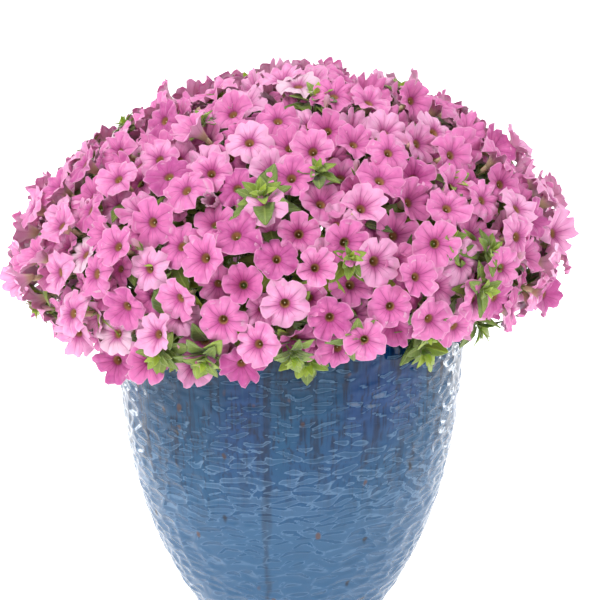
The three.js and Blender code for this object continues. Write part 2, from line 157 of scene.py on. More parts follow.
def tint(code: str) -> tuple[float, float, float, float]:
    """A colour as shaders read it.

    Args:
        code: Six hexadecimal digits, as a paint chart gives them.

    Returns:
        Red, green, blue and opacity, in linear light.
    """
    parts = [int(code[k : k + 2], 16) / 255 for k in (0, 2, 4)]
    linear = [p / 12.92 if p <= 0.04045 else ((p + 0.055) / 1.055) ** 2.4 for p in parts]
    return (*linear, 1.0)


class Recipe:
    """A material's nodes, with a short call for each kind that the finishes share."""

    def __init__(self, name: str) -> None:
        """Starts a material of that name with one plain shader."""
        self.material = bpy.data.materials.new(name)
        self.material.use_nodes = True
        self.tree = self.material.node_tree
        self.shader = next(n for n in self.tree.nodes if n.type == "BSDF_PRINCIPLED")

    def feed(self, socket: object, value: object) -> None:
        """Links an output to a socket, or sets a constant on it."""
        if isinstance(value, bpy.types.NodeSocket):
            self.tree.links.new(value, socket)
        elif value is not None:
            socket.default_value = value

    def node(self, kind: str, inputs: dict | None = None, **settings: object) -> bpy.types.Node:
        """A node with its settings and inputs.

        Args:
            kind: Blender's name for the node, without its ShaderNode prefix.
            inputs: What goes into each socket, by name or number.
            settings: The node's own properties.

        Returns:
            The node.
        """
        made = self.tree.nodes.new("ShaderNode" + kind)
        for key, value in settings.items():
            setattr(made, key, value)
        for key, value in (inputs or {}).items():
            self.feed(made.inputs[key], value)
        return made

    def sum(self, operation: str, a: object, b: object = None) -> object:
        """One step of arithmetic on one or two numbers."""
        inputs = {0: a} if b is None else {0: a, 1: b}
        return self.node("Math", inputs, operation=operation).outputs[0]

    def plus(self, a: object, b: object) -> object:
        """The sum of two numbers."""
        return self.sum("ADD", a, b)

    def minus(self, a: object, b: object) -> object:
        """The first number less the second."""
        return self.sum("SUBTRACT", a, b)

    def times(self, a: object, b: object) -> object:
        """The product of two numbers."""
        return self.sum("MULTIPLY", a, b)

    def waves(self, value: object) -> object:
        """The size of a number's sine, which is 0 along evenly spaced lines."""
        return self.sum("ABSOLUTE", self.sum("SINE", value))

    def ease(self, value: object, low: float, high: float, to: float = 1.0) -> object:
        """Eases from 0 to a top value as a number goes from low to high."""
        inputs = {"Value": value, "From Min": low, "From Max": high, "To Max": to}
        return self.node("MapRange", inputs, interpolation_type="SMOOTHSTEP").outputs[0]

    def blend(self, share: object, a: object, b: object) -> object:
        """A colour from a to b by a share."""
        made = self.node("Mix", {"Factor": share}, data_type="RGBA")
        colours = [s for s in made.inputs if s.type == "RGBA"]
        self.feed(colours[0], a)
        self.feed(colours[1], b)
        return next(s for s in made.outputs if s.type == "RGBA")

    def over(self, colour: object, code: str, share: object) -> object:
        """A colour with a share of a paint laid over it."""
        return self.blend(share, colour, tint(code))

    def noise(self, vector: object, scale: float, detail: float = 2.0) -> object:
        """Soft noise from 0 to 1."""
        inputs = {"Vector": vector, "Scale": scale, "Detail": detail}
        return self.node("TexNoise", inputs).outputs[0]

    def place(self) -> object:
        """A point's own place on the object."""
        return self.node("TexCoord").outputs["Object"]

    def stretched(self, scale: tuple[float, float, float]) -> object:
        """A point's own place, with each axis scaled."""
        return self.node("Mapping", {"Vector": self.place(), "Scale": scale}).outputs[0]

    def attribute(self, name: str) -> list[object]:
        """The three numbers that a mesh holds under a name."""
        vector = self.node("Attribute", attribute_name=name).outputs["Vector"]
        return list(self.node("SeparateXYZ", {0: vector}).outputs)

    def bump(self, height: object, strength: float, distance: float) -> None:
        """Raises the surface by a height."""
        inputs = {"Height": height, "Strength": strength, "Distance": distance}
        self.feed(self.shader.inputs["Normal"], self.node("Bump", inputs).outputs[0])

    def finish(self, colour: object, **sockets: object) -> bpy.types.Material:
        """Sets the colour and the shader's other sockets.

        Args:
            colour: A colour or the output that gives it.
            sockets: Values by socket name, with an underscore for each space.

        Returns:
            The material.
        """
        self.feed(self.shader.inputs["Base Color"], colour)
        for name, value in sockets.items():
            self.feed(self.shader.inputs[name.replace("_", " ")], value)
        return self.material


@dataclass(frozen=True)
class PetalFinish:
    """Pink petals with magenta veins round a tan throat, painted darker deep in its tube as shade, a light
    rim and a paler back.
    """

    pale: str = "e9a2cc"
    pink: str = "d96fae"
    deep: str = "b03c88"
    faded: str = "e0c4d2"
    rim: str = "f3b6d6"
    vein: str = "8a1f62"
    throat: str = "80304f"
    well: str = "a8784a"
    # Painted shade deep in the throat's tube.
    dark: str = "94703c"
    eye: str = "d8d0a0"
    back: str = "dca3c2"
    tube: str = "c9b18c"

    def material(self) -> bpy.types.Material:
        """The material, which reads bloom_place and bloom_tone."""
        make = Recipe("petal")
        x, y, z = make.attribute("bloom_place")
        tone, fade, side = make.attribute("bloom_tone")
        turn = make.sum("ARCTAN2", y, x)
        squares = make.plus(make.sum("POWER", x, 2.0), make.sum("POWER", y, 2.0))
        out = make.sum("POWER", squares, 0.5)
        wander = make.minus(make.noise(make.place(), 90.0), 0.5)
        tone = make.plus(tone, make.times(wander, 0.8))

        shade = make.blend(make.ease(tone, 0.05, 0.55), tint(self.pale), tint(self.pink))
        shade = make.over(shade, self.deep, make.ease(tone, 0.5, 1.0))
        shade = make.over(shade, self.faded, fade)
        shade = make.over(shade, self.rim, make.ease(out, 0.92, 1.0, 0.4))

        from_middle = make.times(make.waves(make.times(turn, 2.5)), out)
        inward = make.ease(out, 0.85, 0.3)
        glow = make.times(make.ease(from_middle, 0.4, 0.0, 0.6), make.ease(out, 0.95, 0.25))
        shade = make.over(shade, self.deep, glow)
        shade = make.over(shade, self.deep, make.ease(out, 0.56, 0.16, 0.8))
        ripple = make.plus(make.times(turn, 7.5), make.times(wander, 2.5))
        fine = make.ease(make.waves(ripple), 0.3, 0.0, 0.8)
        middle = make.times(make.ease(from_middle, 0.05, 0.0, 0.75), make.ease(out, 1.0, 0.6))
        lines = make.sum("MAXIMUM", middle, make.times(fine, inward))
        shade = make.over(shade, self.vein, make.times(lines, 0.85))
        shade = make.over(shade, self.throat, make.ease(out, 0.25, 0.16, 0.8))
        # Painted shade: the throat's tan turns darker deeper in the tube.
        inside = make.blend(make.ease(z, -0.3, -0.55), tint(self.well), tint(self.dark))
        shade = make.blend(make.ease(z, -0.14, -0.24), shade, inside)

        behind = make.blend(make.times(middle, 0.5), tint(self.back), tint(self.vein))
        behind = make.over(behind, self.tube, make.ease(z, -0.12, -0.5))
        shade = make.blend(make.ease(side, 0.3, 1.0), shade, behind)
        shade = make.over(shade, self.eye, make.ease(side, 1.4, 1.6))
        make.bump(make.minus(wander, lines), 0.5, 0.0008)
        return make.finish(
            shade,
            Roughness=0.55,
            Subsurface_Weight=0.15,
            Subsurface_Radius=(0.006, 0.003, 0.004),
            Subsurface_Scale=1.0,
            Sheen_Weight=0.15,
            Sheen_Roughness=0.5,
        )


@dataclass(frozen=True)
class LeafFinish:
    """Lime to olive leaves with a pale midrib, and yellow-green stems."""

    young: str = "9ab02c"
    grown: str = "667c22"
    old: str = "36461a"
    rib: str = "a4b45a"
    stem: str = "859a42"

    def material(self) -> bpy.types.Material:
        """The material, which reads leaf_place and leaf_tone."""
        make = Recipe("leaf")
        across, along, _ = make.attribute("leaf_place")
        tone, stem, _ = make.attribute("leaf_tone")
        wander = make.noise(make.place(), 90.0)
        tone = make.plus(tone, make.times(make.minus(wander, 0.5), 0.5))
        shade = make.blend(make.ease(tone, 0.0, 0.5), tint(self.young), tint(self.grown))
        shade = make.over(shade, self.old, make.ease(tone, 0.5, 1.0))
        aside = make.sum("ABSOLUTE", across)
        rib = make.ease(aside, 0.16, 0.02, 0.8)
        slant = make.minus(make.times(along, 9.0), make.times(aside, 1.6))
        veins = make.ease(make.waves(make.times(slant, math.pi)), 0.3, 0.0, 0.4)
        lines = make.sum("MAXIMUM", rib, veins)
        shade = make.over(shade, self.rib, make.times(lines, 0.6))
        shade = make.over(shade, self.stem, stem)
        make.bump(make.minus(wander, lines), 0.4, 0.0008)
        return make.finish(
            shade,
            Roughness=0.5,
            Subsurface_Weight=0.15,
            Subsurface_Radius=(0.002, 0.004, 0.001),
            Subsurface_Scale=1.0,
            Sheen_Weight=0.3,
        )


@dataclass(frozen=True)
class GlazeFinish:
    """Glossy blue glaze that ran down the wall: painted highlights where the beaten wall faces up, a painted
    floor reflection low down and painted shade under the rim.
    """

    # Dark blue for the glaze's runs and streaks, and for painted shade towards the rim.
    deep: str = "03112c"
    blue: str = "05356c"
    teal: str = "05466c"
    # Light blue for the glaze's streaks, and for the painted reflection of the pale floor on the lower wall.
    streak_and_floor_reflection: str = "1e4e74"
    # Pale blue of the painted highlights on the beaten wall.
    painted_highlight: str = "7395b6"
    fleck: str = "1c191d"
    rust: str = "5c4236"
    streak_at: float = -29 * MM
    streak_width: float = 6 * MM

    def material(self) -> bpy.types.Material:
        """The material, on the pot's own coordinates and its glaze_tilt."""
        make = Recipe("glaze")
        place = make.node("SeparateXYZ", {0: make.place()}).outputs
        tilt = make.attribute("glaze_tilt")[0]
        fine = make.noise(make.stretched((240.0, 240.0, 9.0)), 1.0, 3.0)
        runs = make.noise(make.stretched((70.0, 70.0, 6.0)), 1.0, 3.0)
        wide = make.noise(make.stretched((9.0, 9.0, 4.0)), 1.0, 2.0)
        height = make.plus(place[2], make.times(make.minus(wide, 0.5), 0.16))
        shade = make.blend(make.ease(wide, 0.4, 0.6), tint(self.blue), tint(self.teal))
        # Painted reflection of the floor: the glaze is lighter towards the foot.
        shade = make.over(shade, self.streak_and_floor_reflection, make.ease(height, 0.4, 0.14))
        high = make.ease(height, 0.16, 0.34)
        # Painted shade: the wall darkens towards the rim, under the plant that hangs over it.
        shade = make.over(shade, self.deep, make.ease(height, 0.34, 0.44, 0.55))
        shade = make.over(shade, self.deep, make.times(make.ease(runs, 0.52, 0.66, 0.7), high))
        shade = make.over(shade, self.deep, make.times(make.ease(fine, 0.5, 0.66, 0.7), high))
        shade = make.over(shade, self.streak_and_floor_reflection, make.ease(fine, 0.46, 0.3, 0.4))

        sway = make.times(make.minus(runs, 0.5), 0.02)
        beside = make.minus(make.plus(place[0], sway), self.streak_at)
        line = make.ease(make.sum("ABSOLUTE", beside), self.streak_width, 0.0, 0.6)
        front = make.ease(place[1], 0.0, -0.05)
        shade = make.over(shade, self.deep, make.times(line, front))

        # Painted highlights: pale bands where the beaten wall faces up, moved and weighted by height, stand
        # in for reflections of the room.
        highlight_tilt = make.plus(tilt, make.ease(height, 0.36, 0.14, 0.45))
        fill = make.ease(highlight_tilt, 0.8, 0.92, 0.6)
        strength = make.minus(0.55, make.ease(height, 0.3, 0.1, 0.25))
        edge = make.times(make.minus(make.ease(highlight_tilt, 0.7, 0.8), fill), strength)
        shade = make.over(shade, self.painted_highlight, edge)

        spots = make.node("TexVoronoi", {"Vector": make.stretched((52.0, 52.0, 30.0)), "Scale": 1.0})
        few = make.node("SeparateColor", {0: spots.outputs["Color"]}).outputs
        spot = make.ease(spots.outputs["Distance"], 0.24, 0.1)
        spot = make.times(spot, make.ease(few[0], 0.76, 0.78))
        fleck = make.blend(make.ease(few[1], 0.4, 0.6), tint(self.fleck), tint(self.rust))
        shade = make.blend(make.times(spot, 0.8), shade, fleck)
        return make.finish(shade, Roughness=0.06, IOR=1.4)


@dataclass(frozen=True)
class SoilFinish:
    """Dark, damp potting mix."""

    dark: str = "1d140e"
    light: str = "4a3626"

    def material(self) -> bpy.types.Material:
        """The material, on the soil's own coordinates."""
        make = Recipe("soil")
        crumbs = make.noise(make.place(), 420.0, 4.0)
        shade = make.blend(make.ease(crumbs, 0.35, 0.7), tint(self.dark), tint(self.light))
        make.bump(crumbs, 0.8, 0.002)
        return make.finish(shade, Roughness=0.95)


# Pieces


def keep_inside(verts: list[bmesh.types.BMVert]) -> Vector:
    """Moves a bloom or a leaf as a whole, so that it stays inside the CAD model's box.

    Args:
        verts: Its vertices.

    Returns:
        How far it was moved.
    """
    low, high = CAD_BOX
    moved = Vector((0, 0, 0))
    for axis in range(3):
        places = [vert.co[axis] for vert in verts]
        moved[axis] = max(0.0, low[axis] + MM - min(places)) - max(0.0, max(places) - high[axis] + MM)
    for vert in verts:
        vert.co += moved
    return moved


def make_piece(
    bm: bmesh.types.BMesh, name: str, material: bpy.types.Material, nodes: list[str]
) -> None:
    """Makes a finished piece of the object from a mesh.

    Args:
        bm: The mesh, which is used up.
        name: The piece's name.
        material: Its finish.
        nodes: The frame's nodes that it stands for.
    """
    for face in bm.faces:
        face.smooth = True
    mesh = bpy.data.meshes.new(name)
    bm.to_mesh(mesh)
    bm.free()
    mesh.materials.append(material)
    piece = bpy.data.objects.new(name, mesh)
    bpy.context.scene.collection.objects.link(piece)
    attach(piece, BODY)
    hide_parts(*nodes)
    REPORT.info("%s: %d faces", name, len(mesh.polygons))


def spin_profile(
    bm: bmesh.types.BMesh, profile: list[tuple[float, float]], steps: int, ring: bool = False
) -> None:
    """Turns a profile about the Z axis, and merges what meets on the axis.

    Args:
        bm: An empty mesh.
        profile: Points of the profile, out and up.
        steps: How many columns of faces go round.
        ring: Whether the profile closes on itself, and doesn't start and end on the axis.
    """
    points = [bm.verts.new((out, 0, height)) for out, height in profile]
    following = [*points[1:], points[0]] if ring else points[1:]
    edges = [bm.edges.new(pair) for pair in zip(points, following)]
    whole = {"cent": (0, 0, 0), "axis": (0, 0, 1), "angle": TURN, "use_merge": True}
    bmesh.ops.spin(bm, geom=[*points, *edges], steps=steps, **whole)
    bmesh.ops.remove_doubles(bm, verts=bm.verts, dist=1e-6)
    bmesh.ops.recalc_face_normals(bm, faces=bm.faces)


class MeshStore:
    """Pattern meshes that copies are taken from."""

    def __init__(self, name: str) -> None:
        """Starts an empty store. Its meshes are named after it."""
        self.name = name
        self.meshes: list[bpy.types.Mesh] = []

    def keep(self, bm: bmesh.types.BMesh) -> None:
        """Keeps a pattern, which is used up."""
        mesh = bpy.data.meshes.new(f"{self.name}_{len(self.meshes)}")
        bm.to_mesh(mesh)
        bm.free()
        self.meshes.append(mesh)

    def add(self, bm: bmesh.types.BMesh, which: int) -> list[bmesh.types.BMVert]:
        """Adds a copy of a pattern to a mesh.

        Args:
            bm: The mesh that it goes into.
            which: The pattern's number.

        Returns:
            The copy's vertices, still where the pattern has them.
        """
        before = len(bm.verts)
        bm.from_mesh(self.meshes[which])
        bm.verts.ensure_lookup_table()
        return bm.verts[before:]

    def clear(self) -> None:
        """Deletes the patterns."""
        for mesh in self.meshes:
            bpy.data.meshes.remove(mesh)
        self.meshes = []


# The mound


@dataclass(frozen=True)
class Trail:
    """A stretch of the skirt that hangs lower, or higher if its depth is less than 0."""

    azimuth: float
    spread: float
    depth: float


@dataclass(frozen=True)
class Mound:
    """The surface that the faces of the blooms lie about."""

    centre: float = 524 * MM
    reach: float = 349 * MM
    rise: float = 213 * MM
    drop: float = 118 * MM
    crown_power: float = 1.7
    skirt_power: float = 3.0
    skirt_inset: float = 0.45
    lean: float = 25 * MM
    top: float = 0.01
    end: float = math.radians(125)
    trails: tuple[Trail, ...] = (
        Trail(234, 22, 60 * MM),
        Trail(264, 10, 22 * MM),
        Trail(325, 26, -30 * MM),
        Trail(60, 40, 30 * MM),
    )

    def profile(self, angle: float, inset: float = 0.0) -> tuple[float, float]:
        """The mound before it leans and trails.

        Args:
            angle: The angle down from the top.
            inset: How far under the surface.

        Returns:
            How far out the surface is there, and how high.
        """
        crown = angle <= math.pi / 2
        power = 2 / (self.crown_power if crown else self.skirt_power)
        height = self.rise - inset if crown else self.skirt_inset * inset - self.drop
        out = (self.reach - inset) * math.sin(angle) ** power
        return out, self.centre + height * abs(math.cos(angle)) ** power

    def point(self, angle: float, azimuth: float, inset: float = 0.0) -> Vector:
        """A point of the mound.

        Args:
            angle: The angle down from the top.
            azimuth: The azimuth.
            inset: How far under the surface.

        Returns:
            The point.
        """
        out, height = self.profile(angle, inset)
        above = max(0.0, height - self.centre) / self.rise
        below = max(0.0, self.centre - height) / self.drop
        degrees = math.degrees(azimuth)
        sag = 0.0
        for trail in self.trails:
            off = (degrees - trail.azimuth + 180) % 360 - 180
            sag += trail.depth * math.exp(-((off / trail.spread) ** 2))
        return Vector(
            (out * math.cos(azimuth) + self.lean * above, out * math.sin(azimuth), height - sag * below)
        )

    def normal(self, angle: float, azimuth: float) -> Vector:
        """The direction out of the mound's surface at a place."""
        step = 0.02
        down = self.point(angle + step, azimuth) - self.point(max(angle - step, 0.0), azimuth)
        around = self.point(angle, azimuth + step) - self.point(angle, azimuth - step)
        return down.cross(around).normalized()

    def angles_covering(self, shares: list[float]) -> list[float]:
        """The angles from the top within which given shares of the surface lie.

        Args:
            shares: Shares of the surface, from 0 to 1.

        Returns:
            The angle for each share.
        """
        rows = 400
        covered = [0.0]
        for row in range(1, rows + 1):
            from_out, from_height = self.profile(self.end * (row - 1) / rows)
            to_out, to_height = self.profile(self.end * row / rows)
            width = math.hypot(to_out - from_out, to_height - from_height)
            covered.append(covered[-1] + (from_out + to_out) * width)
        angles = []
        for share in shares:
            wanted = covered[rows] * share
            row = next(k for k, area in enumerate(covered) if area > wanted)
            part = (wanted - covered[row - 1]) / (covered[row] - covered[row - 1])
            angles.append(self.end * (row - 1 + part) / rows)
        return angles

    def even_angles(self, count: int) -> list[float]:
        """The angles from the top of a number of places spread evenly over the surface."""
        return self.angles_covering([(n + 0.5) / count for n in range(count)])


@dataclass(frozen=True)
class Patch:
    """The part of the mound that one spray covers."""

    name: str
    start: float
    stop: float
    azimuth: float
    half_width: float

    @property
    def is_crown(self) -> bool:
        """Whether the patch lies all round the top."""
        return self.half_width == math.pi

    @property
    def middle(self) -> float:
        """The angle from the top of the patch's middle."""
        return 0.0 if self.is_crown else (self.start + self.stop) / 2

    def sideways(self, azimuth: float) -> float:
        """How far an azimuth lies to the side of the patch's middle."""
        turn = azimuth - self.azimuth
        return turn - TURN * round(turn / TURN)

    def holds(self, angle: float, azimuth: float) -> bool:
        """Whether a place lies in the patch or in one nearer the top."""
        return angle < self.stop and abs(self.sideways(azimuth)) <= self.half_width


@dataclass(frozen=True)
class Tuft:
    """A leafy tip that stands out among the blooms: its place, its leaves' length and their number."""

    angle: float
    azimuth: float
    length: float = 34 * MM
    count: int = 10
    lift: float = 8 * MM


@dataclass
class Seat:
    """Where one bloom sits, and which way it looks."""

    patch: Patch
    centre: Vector
    normal: Vector
    face: Vector
    root: Vector
    radius: float
    turn: float
    filler: bool = False


@dataclass
class PlantPlan:
    """Where the sprays, blooms, stems and shoots of the plant are."""

    mound: Mound = field(default_factory=Mound)
    upper_sprays: int = 5
    lower_sprays: int = 10
    upper_start: float = math.radians(-13)
    lower_start: float = math.radians(23)
    bloom_standoff: float = 46 * MM
    channel: float = 7 * MM
    blooms: int = 352
    bloom_radius: float = 28.5 * MM
    throat_depth: float = 9 * MM
    root_sunk: float = 20 * MM
    root_margin: float = 8.5 * MM
    crown_room: float = 0.9
    angle_wander: float = 0.022
    side_wander: float = 6 * MM
    side_room: float = 40 * MM
    layers: tuple[float, ...] = (-12 * MM, 4 * MM, -4 * MM, 12 * MM)
    nudges: tuple[float, ...] = (0, 5, -5, 10, -10, 15, 20, -15, 26)
    layer_wander: float = 2 * MM
    size_wander: float = 0.09
    look_out: float = 0.8
    look_up: float = 0.2
    tilt: float = 0.42
    seat_reach: float = 0.2 * MM
    seat_seed: int = 20
    foot_nearest: float = 22 * MM
    foot_spread: float = 60 * MM
    rim_shoot_foot: float = 186 * MM
    soil_top: float = 405 * MM
    hole_depth: float = 45 * MM
    filler_seed: int = 77
    filler_tries: int = 2400
    filler_inset: float = 15 * MM
    filler_room: float = 29 * MM
    filler_spacing: float = 38 * MM
    filler_radius: float = 24 * MM
    tufts: tuple[Tuft, ...] = (
        Tuft(60, 262, 42 * MM, 14, 12 * MM),
        Tuft(44, 178, 30 * MM),
        Tuft(36, 228, 26 * MM),
        Tuft(52, 274, 28 * MM),
        Tuft(78, 281, 26 * MM),
        Tuft(74, 302, 30 * MM),
        Tuft(80, 312, 30 * MM),
        Tuft(94, 310, 34 * MM),
        Tuft(110, 244, 36 * MM, 12),
        Tuft(116, 253, 40 * MM, 14),
        Tuft(118, 271, 34 * MM, 12),
        Tuft(112, 283, 34 * MM, 12),
        Tuft(119, 300, 34 * MM, 12),
        Tuft(66, 20, 34 * MM),
        Tuft(100, 40, 34 * MM, 12),
        Tuft(48, 75, 30 * MM),
        Tuft(86, 95, 38 * MM, 12),
        Tuft(112, 120, 36 * MM, 12),
        Tuft(60, 140, 32 * MM),
        Tuft(98, 160, 36 * MM, 12),
        Tuft(116, 196, 34 * MM, 12),
    )

    def patches(self) -> list[Patch]:
        """The sprays' patches, from the top down."""
        count = 1 + self.upper_sprays + self.lower_sprays
        shares = [1 / count, (1 + self.upper_sprays) / count]
        crown_edge, upper_edge = self.mound.angles_covering(shares)
        found = [Patch("crown_spray", 0.0, crown_edge, 0.0, math.pi)]
        rings = (
            ("upper_spray", self.upper_sprays, self.upper_start, crown_edge, upper_edge),
            ("lower_spray", self.lower_sprays, self.lower_start, upper_edge, self.mound.end),
        )
        for name, number, first, start, stop in rings:
            half = math.pi / number
            for k in range(number):
                found.append(Patch(f"{name}_{k + 1}", start, stop, first + half * (2 * k + 1), half))
        return found

    def patch_of(self, patches: list[Patch], tuft: Tuft) -> Patch:
        """The patch that a tuft stands in."""
        angle, azimuth = math.radians(tuft.angle), math.radians(tuft.azimuth)
        return next(patch for patch in patches if patch.holds(angle, azimuth))

    def stem_foot(self, angle: float, azimuth: float) -> Vector:
        """Where the stem of what ends at an angle and azimuth stands in the soil."""
        out = self.foot_nearest + self.foot_spread * angle
        if angle >= self.mound.end:
            out = self.rim_shoot_foot
        return Vector((out * math.cos(azimuth), out * math.sin(azimuth), self.soil_top - self.hole_depth))

    def root_point(self, patch: Patch, angle: float, azimuth: float) -> Vector:
        """The point in a spray's head that a bloom grows from.

        Args:
            patch: The spray's patch.
            angle: The bloom's angle from the top.
            azimuth: The bloom's azimuth.

        Returns:
            The point under the bloom, or as near it as the head reaches.
        """
        inset = self.bloom_standoff + self.root_sunk
        margin = self.channel + self.root_margin
        outer = (patch.stop - margin / self.mound.rise) * (self.crown_room if patch.is_crown else 1)
        inner = self.mound.top if patch.is_crown else patch.start + margin / self.mound.rise
        root_angle = min(max(angle, inner), outer)
        room = math.pi
        if not patch.is_crown:
            room = patch.half_width - margin / self.mound.profile(root_angle, inset)[0]
        side = min(max(patch.sideways(azimuth), -room), room)
        return self.mound.point(root_angle, patch.azimuth + side, inset)

    def facing(self, normal: Vector, azimuth: float, tilt: Vector) -> Vector:
        """The way that a bloom looks.

        Args:
            normal: The mound's own slope at its seat.
            azimuth: The seat's azimuth.
            tilt: The bloom's own turn away from its neighbours.

        Returns:
            The direction, of length 1.
        """
        outward = Vector((math.cos(azimuth), math.sin(azimuth), 0))
        return (normal + outward * self.look_out + UP * self.look_up + tilt).normalized()

    def node_points(self, name: str) -> kdtree.KDTree:
        """The corners of one of the frame's nodes, ready to be searched."""
        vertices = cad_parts[name].data.vertices
        tree = kdtree.KDTree(len(vertices))
        for k, vertex in enumerate(vertices):
            tree.insert(vertex.co, k)
        tree.balance()
        return tree

    def seats(self, patches: list[Patch]) -> list[Seat]:
        """The seats of the blooms, each as high on its tube as the frame has it.

        Args:
            patches: The sprays' patches.

        Returns:
            The seats.
        """
        source = PlantRandom(self.seat_seed)
        trees = {patch.name: self.node_points(patch.name) for patch in patches}
        angles = self.mound.even_angles(self.blooms)
        found = []
        for n, even in enumerate(angles):
            angle = max(even + source.about(self.angle_wander), self.mound.top)
            room = self.side_room + self.mound.profile(even)[0]
            azimuth = n * GOLDEN_ANGLE + source.about(self.side_wander) / room
            patch = next(p for p in patches if p.holds(even, azimuth))
            normal = self.mound.normal(angle, azimuth)
            tilt = Vector([source.about(self.tilt) for _ in range(3)])
            face = self.facing(normal, azimuth, tilt)
            layer = self.layers[n % len(self.layers)] + source.about(self.layer_wander)
            radius = self.bloom_radius * (1 + source.about(self.size_wander))
            turn = source.draw() * TURN
            source.draw()  # the bloom's curl in the frame, which has no part in the looks
            surface = self.mound.point(angle, azimuth)
            for nudge in self.nudges:
                centre = surface + normal * (layer + nudge * MM)
                if trees[patch.name].find(centre - face * self.throat_depth)[2] < self.seat_reach:
                    root = self.root_point(patch, angle, azimuth)
                    found.append(Seat(patch, centre, normal, face, root, radius, turn))
                    break
        return found

    def fillers(self, patches: list[Patch], seats: list[Seat]) -> list[Seat]:
        """Seats of smaller blooms that look out from the gaps between the others.

        Args:
            patches: The sprays' patches.
            seats: The seats that are taken.

        Returns:
            The new seats.
        """
        source = PlantRandom(self.filler_seed)
        taken = [seat.centre for seat in seats]
        found: list[Seat] = []
        for n, angle in enumerate(self.mound.even_angles(self.filler_tries)):
            azimuth = n * GOLDEN_ANGLE
            centre = self.mound.point(angle, azimuth, self.filler_inset)
            tilt = Vector([source.about(self.tilt) for _ in range(3)])
            radius = self.filler_radius * (1 + source.about(self.size_wander))
            turn = source.draw() * TURN
            if any((centre - other).length < self.filler_room for other in taken):
                continue
            if any((centre - other.centre).length < self.filler_spacing for other in found):
                continue
            patch = next(p for p in patches if p.holds(angle, azimuth))
            normal = self.mound.normal(angle, azimuth)
            face = self.facing(normal, azimuth, tilt)
            root = self.root_point(patch, angle, azimuth)
            found.append(Seat(patch, centre, normal, face, root, radius, turn, True))
        return found


# Blooms


class Opening(Enum):
    """How far a bloom has opened: its rim's rise, its lobes' bend back, and its width."""

    FLAT = (0.02, 0.1, 1.0)
    CUPPED = (0.2, 0.05, 0.97)
    ROLLED = (-0.05, 0.2, 1.0)
    FUNNEL = (0.42, 0.12, 0.88)
    SPENT = (0.9, -0.15, 0.4)


